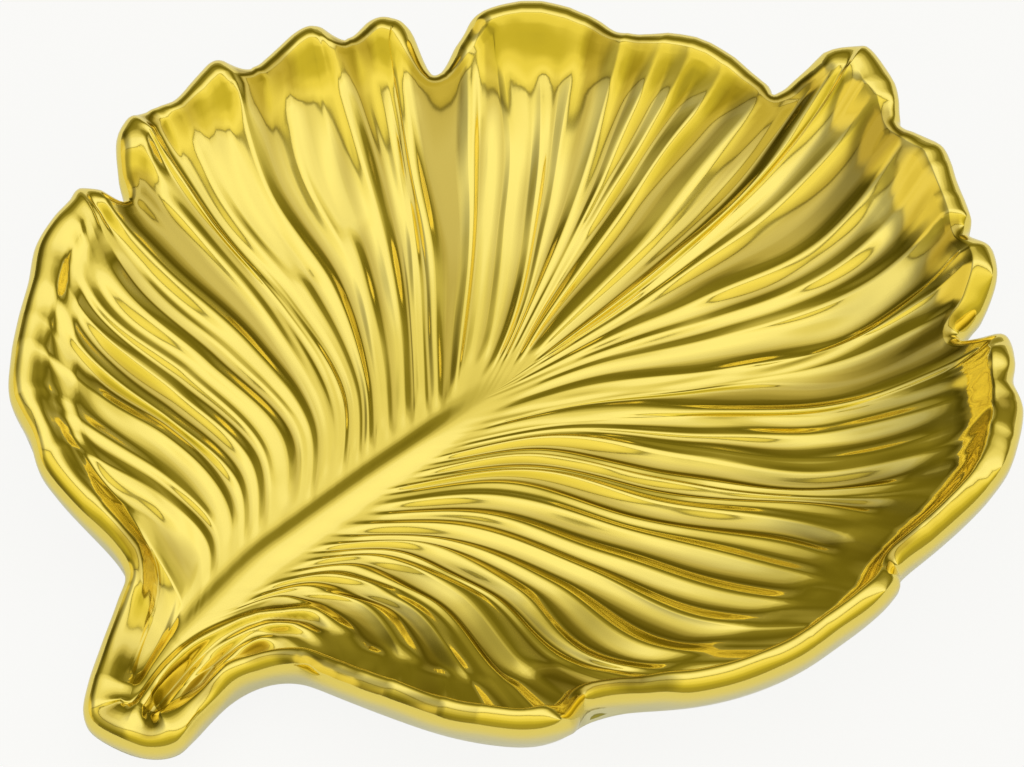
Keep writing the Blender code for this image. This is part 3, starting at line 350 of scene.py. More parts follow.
def spline(knots: Array, values: Array, at: Array, period: float = 0.0) -> Array:
    """A smooth curve through values at knots.

    Args:
        knots: Rising places of the values.
        values: One row of numbers for each knot.
        at: Places to read the curve at.
        period: The length of a closed curve's round, or 0 for an open one.

    Returns:
        The curve's rows at those places.
    """
    knots, values, at = (np.asarray(x, float) for x in (knots, values, at))
    if period:
        at = (at - knots[0]) % period + knots[0]
        knots = np.concatenate([knots[-2:] - period, knots, knots[:2] + period])
        values = np.concatenate([values[-2:], values, values[:2]])
    slopes = np.gradient(values, knots, axis=0)
    left = np.clip(np.searchsorted(knots, at, side="right") - 1, 0, len(knots) - 2)
    step = knots[left + 1] - knots[left]
    shape = at.shape + (1,) * (values.ndim - 1)
    u = ((at - knots[left]) / step).reshape(shape)
    h = step.reshape(shape)
    return between(u, values[left], values[left + 1], slopes[left] * h, slopes[left + 1] * h)


def along_ways(stops: Array, at: Array) -> Array:
    """Points on many smooth curves at once.

    Args:
        stops: Even stops of each curve, shaped (..., stops, 2).
        at: Shares of the way, shaped (..., places).

    Returns:
        Points shaped (..., places, 2).
    """
    spans = stops.shape[-2] - 1
    slopes = np.gradient(stops, axis=-2)
    place = np.clip(at, 0.0, 1.0) * spans
    left = np.clip(place.astype(int), 0, spans - 1)
    u = (place - left)[..., None]
    pick = left[..., None]
    ends = (np.take_along_axis(rows, pick + k, -2) for rows in (stops, slopes) for k in (0, 1))
    return between(u, *ends)


def ease(low: float, high: float, value: Array) -> Array:
    """From 0 at low to 1 at high, level at both."""
    u = np.clip((value - low) / (high - low), 0.0, 1.0)
    return u * u * (3 - 2 * u)


def ridge(reach: Array) -> Array:
    """A round ridge: 1 on its line, 0 from a reach of 1."""
    return 0.5 + 0.5 * np.cos(math.pi * np.clip(np.abs(reach), 0.0, 1.0))


def nearest(points: Array, line: Array) -> tuple[Array, Array]:
    """How far points lie from a line, and where along it.

    Args:
        points: Plan points, shaped (..., 2).
        line: The line's plan points in order.

    Returns:
        The distances, and the shares of the line's length at the nearest places.
    """
    best = np.full(points.shape[:-1], np.inf)
    place = np.zeros(points.shape[:-1])
    for k in range(len(line) - 1):
        way = line[k + 1] - line[k]
        offset = points - line[k]
        along = np.clip((offset @ way) / (way @ way), 0.0, 1.0)
        gap = np.linalg.norm(offset - along[..., None] * way, axis=-1)
        closer = gap < best
        best = np.where(closer, gap, best)
        place = np.where(closer, (k + along) / (len(line) - 1), place)
    return best, place


def eased_ring(ring: Array, passes: int) -> Array:
    """A closed ring of points with its corners eased off.

    Args:
        ring: Points in order, the last the same as the first.
        passes: How often each point moves towards its neighbours' middle.

    Returns:
        The eased ring.
    """
    ring = ring[:-1]
    for _ in range(passes):
        ring = (np.roll(ring, 1, axis=0) + 2 * ring + np.roll(ring, -1, axis=0)) / 4
    return np.vstack([ring, ring[:1]])


@dataclass
class LeafPlan:
    """The leaf seen from above: its outline and its lines of growth."""

    width: float = 0.134
    length: float = 0.156
    lip_width: float = 0.0048
    lip_reach: float = 0.8
    middle: Array = field(init=False)
    span: Array = field(init=False)

    def __post_init__(self) -> None:
        """Measures the outline, so that it fills width and length."""
        count = len(RIM_SHARES)
        outline = spline(np.arange(count), RIM_SHARES, np.linspace(0, count, OUTLINE_SAMPLES), count)
        self.span = np.ptp(outline, axis=0)
        self.middle = outline.min(axis=0) + self.span / 2

    def at(self, shares: Array) -> Array:
        """Plan points in metres from shares of the whole width and length."""
        return (np.asarray(shares, float) - self.middle) / self.span * (self.width, self.length)

    def rim(self, station: Array) -> Array:
        """The rim's plan points at stations along it."""
        return self.at(spline(np.arange(len(RIM_SHARES)), RIM_SHARES, station, len(RIM_SHARES)))

    def inward(self, station: Array, reach: float) -> Array:
        """Level directions into the leaf.

        Args:
            station: Stations along the rim.
            reach: How many stations either way the rim's run is taken over.

        Returns:
            Unit vectors square to the rim.
        """
        along = self.rim(station + reach) - self.rim(station - reach)
        inward = np.stack([along[..., 1], -along[..., 0]], -1)
        return inward / np.linalg.norm(inward, axis=-1, keepdims=True)

    def growth(self, stations: Array, starts: Array, shares: Array) -> Array:
        """Points of columns that leave the midrib, follow the growth and end inside the lip.

        Args:
            stations: The station each column heads for in each ring, shaped (columns, rings).
            starts: Where the columns leave the midrib.
            shares: The rings' shares of the way.

        Returns:
            Plan points shaped (columns, rings, 2).
        """
        knots = [row[0] for row in GROWTH_SHARES]
        points = [row[1:] for row in GROWTH_SHARES]
        inner = self.at(spline(knots, points, stations, len(RIM_SHARES)))
        rim = self.rim(stations)
        end = rim + self.inward(stations, self.lip_reach) * self.lip_width
        start = np.broadcast_to(starts[:, None], rim.shape)
        stops = np.concatenate([start[:, :, None], inner, rim[:, :, None]], axis=2)
        trial = np.linspace(0.0, 1.0, WAY_SAMPLES)
        way = along_ways(stops, np.broadcast_to(trial, stations.shape + trial.shape))
        steps = np.linalg.norm(np.diff(way, axis=2), axis=-1)
        ahead = np.cumsum(steps[..., ::-1], -1)[..., ::-1]
        left_over = np.concatenate([ahead, np.zeros(stations.shape + (1,))], -1)
        beyond = np.clip((left_over > self.lip_width).sum(-1) - 1, 0, len(trial) - 2)[..., None]
        high = np.take_along_axis(left_over, beyond, -1)
        low = np.take_along_axis(left_over, beyond + 1, -1)
        part = np.clip((high - self.lip_width) / (high - low + TINY), 0.0, 1.0)
        stop = (beyond + part) / (len(trial) - 1)
        at = np.concatenate([stop * shares[None, :, None], stop], -1)
        found = along_ways(stops, at)
        return found[:, :, 0] + (end - found[:, :, 1]) * shares[None, :, None] ** 2


@dataclass
class LeafDish:
    """The cast dish: bowl, veins, rolled lip, outer wall and foot."""

    plan: LeafPlan = field(default_factory=LeafPlan)
    floor_height: float = 0.006
    rim_height: float = 0.0256
    stem_height: float = 0.0083
    stem_climb: float = 0.0032
    base_thickness: float = 0.0042
    lip_rise: float = 0.0035
    lip_drop: float = 0.0034
    wall_thickness: float = 0.0062
    fold_height: float = 0.0018
    fold_slope: float = 0.5
    midrib_width: float = 0.0064
    midrib_height: float = 0.0008
    cord_width: float = 0.0032
    cord_height: float = 0.0012
    dent_depth: float = 0.0022
    dent_radius: float = 0.009
    wave_height: float = 0.00008
    # Depth below the eased surface at which the shade painted into a crease is full
    crease_shade_depth: float = 0.0004
    foot_radius: float = 0.032
    foot_edge: float = 0.0025
    foot_height: float = 0.0023
    side_columns: int = 440
    least_columns: int = 5
    floor_rings: int = 78
    lip_rings: int = 14
    wall_rings: int = 8
    under_rings: int = 5
    coat_rings: int = 4

    def bowl(self, points: Array) -> Array:
        """The plain bowl, without lip or veins.

        Args:
            points: Plan points, shaped (..., 2).

        Returns:
            Its height at each.
        """
        offset = points - self.plan.at(BOWL_CENTRE_SHARES)
        x, y = offset[..., 0], offset[..., 1]
        reach = np.clip(np.hypot(x, y) / (BOWL_RADIUS_SHARE * self.plan.width), 0.0, 1.0)
        side = np.arctan2(x, -y)
        low_side = np.exp(-((side / LOW_SIDE_ANGLE) ** 2))
        near = np.cos(side - NEAR_TURN)
        drop = LOW_SIDE_DROP_SHARE * low_side + NEAR_DROP_SHARE * np.clip(near, 0.0, 1.0)
        rise = (self.rim_height - self.floor_height) * (1 - drop)
        power = BOWL_POWER + NEAR_POWER * near
        dish = self.floor_height + rise * reach**power
        across = (points[..., 0] / self.plan.width - STEM_CENTRE_SHARE) / STEM_SPREAD_SHARE
        below = (points[..., 1] / self.plan.length - NECK_SHARE) / NECK_BLEND_SHARE
        on_stem = np.exp(-(across**2)) / (1 + np.exp(np.clip(below, -MOST_EXPONENT, MOST_EXPONENT)))
        climb = np.clip((NECK_SHARE - points[..., 1] / self.plan.length) / STEM_SHARE, 0.0, 1.0)
        return dish * (1 - on_stem) + (self.stem_height + self.stem_climb * climb) * on_stem

    def fold_lines(self, folds: tuple) -> tuple[Array, Array]:
        """The crests and creases of one side in order from the stem, with a plain line at each end.

        Args:
            folds: The side's table of folds.

        Returns:
            Their stations, shaped (lines, 3), and 1 for a crest, -1 for a crease and 0 for an end.
        """
        stem = 0.0 if folds is LEFT_FOLD_SHARES else float(len(RIM_SHARES))
        stations, signs = [[stem] * 3], [0]
        for crest, crease, *_ in folds:
            near_stem = (crest[1] < crease[1]) == (stem == 0.0)
            stations += [crest, crease] if near_stem else [crease, crest]
            signs += [1, -1] if near_stem else [-1, 1]
        return np.array(stations + [[TOP_STATION] * 3]), np.array(signs + [0])

    def side_places(self, folds: tuple) -> Array:
        """The columns of one side that run along its crests and creases.

        Args:
            folds: The side's table of folds.

        Returns:
            Rising column numbers, one a line, from 0 at the stem.
        """
        roots = np.array(sorted(LEFT_ROOT_SHARES if folds is LEFT_FOLD_SHARES else RIGHT_ROOT_SHARES))
        share, root = np.transpose(START_SHARES)
        lines = self.fold_lines(folds)[0]
        by_root = np.interp(np.interp(lines[:, 0], *roots.T), root, share)
        by_rim = (lines[:, 2] - lines[0, 2]) / (lines[-1, 2] - lines[0, 2])
        places = np.round((by_root + by_rim) / 2 * self.side_columns).astype(int)
        places[0], places[-1] = 0, self.side_columns
        for k in range(1, len(places)):
            places[k] = max(places[k], places[k - 1] + self.least_columns)
        places[-1] = self.side_columns
        for k in range(len(places) - 2, 0, -1):
            places[k] = min(places[k], places[k + 1] - self.least_columns)
        return places

    def side_stations(self, folds: tuple, columns: Array, shares: Array) -> Array:
        """Stations that one side's columns head for.

        Args:
            folds: The side's table of folds.
            columns: Column numbers counted from the stem.
            shares: The rings' shares of the way.

        Returns:
            Stations shaped (columns, rings).
        """
        places = self.side_places(folds)
        table = self.fold_lines(folds)[0]
        inner, middle, outer = (np.interp(columns, places, table[:, k]) for k in range(3))
        stops = np.stack([inner, inner, middle, outer, outer])
        return spline((0.0, INNER_SHARE, 0.5, OUTER_SHARE, 1.0), stops, shares).T

    def fold_relief(self, folds: tuple, columns: Array, lines: Array, shares: Array) -> Array:
        """Height over the bowl from one side's folds and the spoons between them.

        Args:
            folds: The side's table of folds.
            columns: Column numbers counted from the stem.
            lines: Plan points of the crests' and creases' own columns, shaped (lines, rings, 2).
            shares: The rings' shares of the way.

        Returns:
            Heights shaped (columns, rings).
        """
        begins, ends, level = (np.array([row[k] for row in folds])[:, None] for k in (2, 3, 4))
        signs = self.fold_lines(folds)[1]
        places = self.side_places(folds)
        across = np.diff(lines, axis=0)
        along = np.gradient(lines, axis=1)[:-1]
        along /= np.linalg.norm(along, axis=-1, keepdims=True) + TINY
        spacing = np.abs(across[..., 0] * along[..., 1] - across[..., 1] * along[..., 0])
        grown = ease(begins, begins + FOLD_GROWN_SHARE, shares[None])
        ended = ease(ends - FOLD_END_SHARE, ends, shares[None])
        height = self.fold_height * level * grown * (1 - ended)
        steep = self.fold_slope * level * spacing[1::2]
        height = height * steep / np.hypot(height, steep + TINY)
        levels = np.zeros(lines.shape[:2])
        levels[1:-1] = np.repeat(height, 2, axis=0) * signs[1:-1, None] / 2
        left = np.clip(np.searchsorted(places, columns, side="right") - 1, 0, len(places) - 2)
        part = ((columns - places[left]) / (places[left + 1] - places[left]))[:, None]
        is_steep = (signs[left] * signs[left + 1] < 0) & (left % 2 == 1)
        steepness = np.where(is_steep, STRAIGHT_SHARE, 0.0)[:, None]
        climb = steepness * part + (1 - steepness) * ease(0.0, 1.0, part)
        lift = levels[left] + (levels[left + 1] - levels[left]) * climb
        gap = np.clip(spacing[left] - self.fold_height, 0.0, MOST_SPOON)
        return lift - SPOON_SHARE * gap * 4 * part * (1 - part) * ease(*SPOON_GROWN_SHARES, shares)

    def ridge_relief(self, points: Array) -> Array:
        """The midrib, with the cords beside it that run into the stem, and the dent.

        Args:
            points: Plan points, shaped (..., 2).

        Returns:
            Their height over the bowl at each.
        """
        gap, place = nearest(points, self.smooth_line(MIDRIB_SHARES))
        lift = self.midrib_height * ridge(gap / (self.midrib_width / 2))
        lift *= 1 - ease(*MIDRIB_FADE_SHARES, place)
        for cord in STEM_CORD_SHARES:
            gap, place = nearest(points, self.smooth_line(cord))
            cord_lift = self.cord_height * ridge(gap / (self.cord_width / 2))
            lift += cord_lift * ease(0.0, CORD_GROWN_SHARE, place)
        offset = (points - self.plan.at(DENT_SHARES)) / self.dent_radius
        return lift - self.dent_depth * np.exp(-(offset**2).sum(axis=-1))

    def smooth_line(self, shares: tuple) -> Array:
        """Plan points of a smooth line through a table's points."""
        places = np.linspace(0, len(shares) - 1, LINE_SAMPLES)
        return self.plan.at(spline(np.arange(len(shares)), shares, places))

    def rows(self) -> list[Array]:
        """The skin, ring by ring from the midrib over the rim to the foot.

        Returns:
            Rows of points, one a ring.
        """
        plan, sides = self.plan, self.side_columns
        columns = np.arange(2 * sides + 1)
        side = np.minimum(columns, 2 * sides - columns)
        on_left = columns <= sides
        shares = np.linspace(0.0, 1.0, self.floor_rings) ** RING_BIAS
        left = self.side_stations(LEFT_FOLD_SHARES, side, shares)
        right = self.side_stations(RIGHT_FOLD_SHARES, side, shares)
        stations = np.where(on_left[:, None], left, right)
        start_y = np.interp(side / sides, *np.transpose(START_SHARES))
        line = np.asarray(MIDRIB_SHARES)
        starts = plan.at(np.stack([spline(line[:, 1], line[:, 0], start_y), start_y], -1))
        floor = plan.growth(stations, starts, shares)
        shift = eased_ring(floor[:, -1], self.passes(RIM_PASSES)) - floor[:, -1]
        length = np.linalg.norm(shift, axis=-1, keepdims=True)
        shift *= np.minimum(1.0, MOST_SHIFT_SHARE * plan.lip_width / (length + TINY))
        floor += shift[:, None] * shares[:, None] ** 2
        lift = np.zeros(floor.shape[:2])
        for folds, chosen in ((LEFT_FOLD_SHARES, on_left), (RIGHT_FOLD_SHARES, ~on_left)):
            places = self.side_places(folds)
            at = places if chosen[0] else 2 * sides - places
            lift[chosen] = self.fold_relief(folds, side[chosen], floor[at], shares)
        lift += self.ridge_relief(floor)
        steps = np.linalg.norm(np.diff(floor, axis=1), axis=-1)
        depth = plan.lip_width + np.pad(np.cumsum(steps[:, ::-1], 1)[:, ::-1], ((0, 0), (0, 1)))
        lift += self.waves(stations, depth) * shares
        heights = self.shape(floor, depth, lift, stations[:, -1:])
        rows = [np.column_stack([floor[:, k], heights[:, k]]) for k in range(self.floor_rings)]
        self.add_lip(rows, stations[:, -1], shift, lift[:, -1])
        return rows

    def shape(self, points: Array, depth: Array, lift: Array, station: Array) -> Array:
        """Heights of the upper side inside the crest of the lip.

        Args:
            points: Plan points.
            depth: How far each lies in from the rim.
            lift: Veins and troughs there.
            station: Each point's station on the rim.

        Returns:
            The heights.
        """
        share, reach, crest = self.rim_form(station)
        crest = crest * self.plan.lip_width
        x = np.clip((depth - crest) / (reach * self.plan.lip_width - crest), 0.0, 1.0)
        spoon = np.clip((reach - 1.0) / FULL_SPOON_REACH, 0.0, 1.0)
        rolled = 1 - x * x
        scooped = (1 - x) ** 3 * (1 + 3 * x)
        rise = self.lip_rise * share * (rolled * (1 - spoon) + scooped * spoon)
        edge = LIFT_EDGE_SHARE * crest
        inwards = np.clip((depth - edge) / (LIFT_REACH * self.plan.lip_width - edge), 0.0, 1.0)
        return self.bowl(points) + rise + lift * ease(0.0, 1.0, inwards)

    def rim_form(self, station: Array) -> tuple[Array, Array, Array]:
        """The lip's form along the rim.

        Args:
            station: Stations along the rim.

        Returns:
            Its share of the full rise, its reach and its crest's place at each.
        """
        table = np.asarray(RIM_FORM_SHARES)
        form = spline(table[:, 0], table[:, 1:], station, len(RIM_SHARES))
        return form[..., 0], form[..., 1], form[..., 2]

    def waves(self, stations: Array, depth: Array) -> Array:
        """The soft unevenness of a cast and brushed surface, drawn out along the growth.

        Args:
            stations: Each point's station.
            depth: How far each lies in from the rim.

        Returns:
            Heights over the smooth surface.
        """
        chance = np.random.default_rng(WAVE_SEED)
        total = np.zeros(stations.shape)
        for _ in range(WAVE_COUNT):
            across, along = chance.uniform(*WAVE_STATIONS), chance.uniform(*WAVE_LENGTHS)
            start, lean = chance.uniform(0.0, 2 * math.pi, 2)
            way = 2 * math.pi * (stations / across + depth / along * math.cos(lean))
            total += np.sin(way + start)
        return self.wave_height * total / 2

    def passes(self, coarse: int) -> int:
        """Easing passes that act here as a coarse count does on the CAD solid."""
        return round(coarse * (self.side_columns / SOLID_COLUMNS) ** 2)

    def add_lip(self, rows: list[Array], station: Array, shift: Array, lift: Array) -> None:
        """Adds the rings of the lip, the wall and, in turn, the underside.

        Args:
            rows: The skin's rows so far.
            station: Each column's station on the rim.
            shift: How far the lip's inner foot is eased from its plain place.
            lift: Veins and troughs at the lip's inner foot.
        """
        plan = self.plan
        rim = plan.rim(station)
        inward = plan.inward(station, plan.lip_reach)
        crest = self.rim_form(station)[2][:, None]
        inner = round(self.lip_rings * LIP_INNER_SHARE)
        for part in np.linspace(0.0, 1.0, inner + 1)[1:]:
            inset = 1 - part * (1 - crest)
            place = rim + inward * inset * plan.lip_width + shift * inset**2
            top = self.shape(place, inset[:, 0] * plan.lip_width, lift, station)
            rows.append(np.column_stack([place, top]))
        for turn in np.linspace(0.0, math.pi / 2, self.lip_rings - inner + 1)[1:-1]:
            inset = crest * (1 - math.sin(turn))
            place = rim + inward * inset * plan.lip_width + shift * inset**2
            rows.append(np.column_stack([place, top - self.lip_drop * (1 - math.cos(turn))]))
        depth = np.minimum(self.wall_thickness, WALL_DEPTH_SHARE * self.bowl(rim))
        knots = np.arange(len(WALL_SHARES))
        places = np.linspace(0, len(WALL_SHARES) - 1, self.wall_rings + 1)
        wall = rim
        for inset, down in spline(knots, WALL_SHARES, places):
            wall = rim + plan.inward(station, WALL_TURN_REACH) * inset * depth[:, None]
            wall = eased_ring(wall, self.passes(round(WALL_PASSES * inset)))
            level = (top - self.lip_drop - down * depth)[:, None]
            level = eased_ring(level, self.passes(round(LEVEL_PASSES * inset)))
            rows.append(np.hstack([wall, level]))
        self.add_underside(rows, rim, wall)

    def add_underside(self, rows: list[Array], rim: Array, wall: Array) -> None:
        """Adds the rings that close the skin under the foot.

        Args:
            rows: The skin's rows so far.
            rim: The rim's plan points.
            wall: Plan points of the wall's lowest ring.
        """
        steps = np.linalg.norm(np.diff(rim, axis=0), axis=-1)
        turn = 2 * math.pi * np.concatenate([[0.0], np.cumsum(steps)]) / steps.sum()
        circle = np.stack([-np.sin(turn), -np.cos(turn)], -1)
        centre = self.plan.at(BOWL_CENTRE_SHARES)
        edge = centre + circle * (self.foot_radius + self.foot_edge)
        for part in np.linspace(0.0, 1.0, self.under_rings + 1)[1:]:
            eased = eased_ring(wall, self.passes(round(UNDER_PASSES * part)))
            place = eased * (1 - part) + edge * part
            rows.append(np.column_stack([place, self.bowl(place) - self.base_thickness]))
        for part in FOOT_RING_SHARES:
            place = centre + circle * self.foot_radius * part
            rows.append(np.column_stack([place, np.full(len(place), self.foot_height)]))

    def crease_shade_mask(self, rows: list[Array]) -> Array:
        """How deep each point lies in a crease: the mask for the shade painted into the creases.

        Args:
            rows: The skin's rows.

        Returns:
            1 where a point is well below the ground around it, shaped (columns, rings).
        """
        height = np.stack(rows)[..., 2].T
        depth = (eased_ring(height, self.passes(CREASE_SHADE_PASSES)) - height) / self.crease_shade_depth
        depth[:, self.floor_rings + self.lip_rings // 2 :] = 0.0
        return np.clip(depth, 0.0, 1.0)

    def build(self, finish: "GoldLustre") -> bpy.types.Object:
        """The dish as one closed piece.

        Args:
            finish: What the dish is coated with.

        Returns:
            The finished object.
        """
        rows = self.rows()
        bpy.ops.mesh.primitive_grid_add(
            x_subdivisions=2 * self.side_columns, y_subdivisions=len(rows) - 1, size=2.0
        )
        dish = bpy.context.object
        dish.name = dish.data.name = "gold_leaf_dish"
        flat = np.empty(3 * len(dish.data.vertices))
        dish.data.vertices.foreach_get("co", flat)
        flat = flat.reshape(-1, 3)
        column = np.round((flat[:, 0] + 1) * self.side_columns).astype(int)
        row = np.round((flat[:, 1] + 1) / 2 * (len(rows) - 1)).astype(int)
        dish.data.vertices.foreach_set("co", np.stack(rows)[row, column].ravel())
        lip_end = self.floor_rings + self.lip_rings
        coat = 1.0 - ease(lip_end - self.coat_rings, lip_end + 1, row)
        # Besides the coat, a mask of where shade is painted darker into the creases
        for name, values in (("coat", coat), ("crease_shade", self.crease_shade_mask(rows)[column, row])):
            dish.data.attributes.new(name, "FLOAT", "POINT").data.foreach_set("value", values)
        bpy.ops.object.mode_set(mode="EDIT")
        bpy.ops.mesh.select_all(action="SELECT")
        bpy.ops.mesh.remove_doubles(threshold=MERGE_GAP)
        bpy.ops.mesh.normals_make_consistent(inside=False)
        bpy.ops.object.mode_set(mode="OBJECT")
        bpy.ops.object.shade_smooth()
        dish.data.materials.clear()
        dish.data.materials.append(finish.material())
        return dish


def linear(code: str) -> tuple[float, float, float, float]:
    """A linear colour from an sRGB hex code such as #FFCC00."""
    parts = [int(code[k : k + 2], 16) / 255 for k in (1, 3, 5)]
    return tuple(p / 12.92 if p <= 0.04045 else ((p + 0.055) / 1.055) ** 2.4 for p in parts) + (1.0,)


def add_node(tree: Tree, kind: str, settings: dict | None = None, **inputs: object) -> bpy.types.Node:
    """Adds a node.

    Args:
        tree: The tree it goes in.
        kind: Blender's name for the kind of node.
        settings: Values of its own fields.
        inputs: Values, sockets or nodes, whose first output is linked, by input name with _ for a
            space or by i and a number.

    Returns:
        The node.
    """
    node = tree.nodes.new(kind)
    for key, value in (settings or {}).items():
        setattr(node, key, value)
    for name, value in inputs.items():
        numbered = name[0] == "i" and name[1:].isdigit()
        place = node.inputs[int(name[1:]) if numbered else name.replace("_", " ")]
        if isinstance(value, bpy.types.Node):
            value = value.outputs[0]
        if isinstance(value, Socket):
            tree.links.new(value, place)
        else:
            place.default_value = value
    return node


def new_material(name: str) -> tuple[bpy.types.Material, bpy.types.Node]:
    """Makes a material.

    Args:
        name: The material's name.

    Returns:
        The material and its Principled BSDF node.
    """
    material = bpy.data.materials.new(name)
    material.use_nodes = True
    return material, material.node_tree.nodes["Principled BSDF"]


@dataclass(frozen=True)
class GoldLustre:
    """Gold lustre fired over a glazed casting: a thin mirror that keeps the glaze's soft waves."""

    colour: str = "#FBE679"
    thin_colour: str = "#DDD9B4"
    # Painted shade: the darker olive put into the creases where their shade would fall
    crease_shade_colour: str = "#C8B254"
    roughness: float = 0.09
    wave_size: float = 6 * MILLIMETRE
    wave_depth: float = 0.05 * MILLIMETRE
    wave_detail: float = 1.0
    wave_strength: float = 0.5

    def material(self) -> bpy.types.Material:
        """A polished metal, paler where the coat is thin, with shade painted darker into the creases.

        Returns:
            The material.
        """
        material, shader = new_material("gold_lustre_over_glaze")
        shader.inputs["Metallic"].default_value = 1.0
        shader.inputs["Roughness"].default_value = self.roughness
        tree = material.node_tree
        coat, crease_shade = (
            add_node(tree, "ShaderNodeAttribute", {"attribute_name": name}).outputs["Fac"]
            for name in ("coat", "crease_shade")
        )
        thin, full, crease_shade_rgb = (linear(code) for code in (self.thin_colour, self.colour, self.crease_shade_colour))
        tone = add_node(tree, "ShaderNodeMixRGB", Fac=coat, Color1=thin, Color2=full)
        # Painted shade: the creases darkened towards the shade colour by the crease mask
        crease_shaded_tone = add_node(tree, "ShaderNodeMixRGB", Fac=crease_shade, Color1=tone, Color2=crease_shade_rgb)
        tree.links.new(crease_shaded_tone.outputs["Color"], shader.inputs["Base Color"])
        place = add_node(tree, "ShaderNodeTexCoord").outputs["Object"]
        noise = add_node(
            tree, "ShaderNodeTexNoise", Scale=1 / self.wave_size, Detail=self.wave_detail, Vector=place
        ).outputs["Fac"]
        bump = add_node(
            tree, "ShaderNodeBump", Strength=self.wave_strength, Distance=self.wave_depth, Height=noise
        )
        tree.links.new(bump.outputs["Normal"], shader.inputs["Normal"])
        return material


@dataclass(frozen=True)
class ClearRubber:
    """Clear soft rubber, moulded: a pale, slightly dull cushion."""

    colour: str = "#D8D8D4"
    roughness: float = 0.35
    bending: float = 1.5

    def material(self) -> bpy.types.Material:
        """Pale rubber with a soft shine.

        Returns:
            The material.
        """
        material, shader = new_material("clear_soft_rubber")
        shader.inputs["Base Color"].default_value = linear(self.colour)
        shader.inputs["Roughness"].default_value = self.roughness
        shader.inputs["IOR"].default_value = self.bending
        return material


@dataclass
class BumperPads:
    """The four cushions that are stuck under the foot."""

    radius: float = 0.0045
    thickness: float = 0.002
    edge: float = 0.0006
    edge_steps: int = 5
    sides: int = 64
    count: int = 4
    smooth_angle: float = math.radians(40.0)

    def build(self, finish: ClearRubber) -> list[bpy.types.Object]:
        """The pads, each where its CAD node is.

        Args:
            finish: What the pads are made of.

        Returns:
            The finished objects, in the nodes' order.
        """
        material = finish.material()
        pads = []
        for number in range(1, self.count + 1):
            low, high = (Vector(corner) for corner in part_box(f"bumper_pad_{number}"))
            bpy.ops.mesh.primitive_cylinder_add(
                vertices=self.sides, radius=self.radius, depth=self.thickness, location=(low + high) / 2
            )
            pad = bpy.context.object
            pad.name = pad.data.name = f"rubber_pad_{number}"
            bpy.ops.object.transform_apply(location=True, rotation=True, scale=True)
            rounding = pad.modifiers.new("rounded edge", "BEVEL")
            rounding.width = self.edge
            rounding.segments = self.edge_steps
            rounding.limit_method = "ANGLE"
            bpy.ops.object.modifier_apply(modifier=rounding.name)
            bpy.ops.object.shade_smooth_by_angle(angle=self.smooth_angle)
            pad.data.materials.append(material)
            pads.append(pad)
        return pads


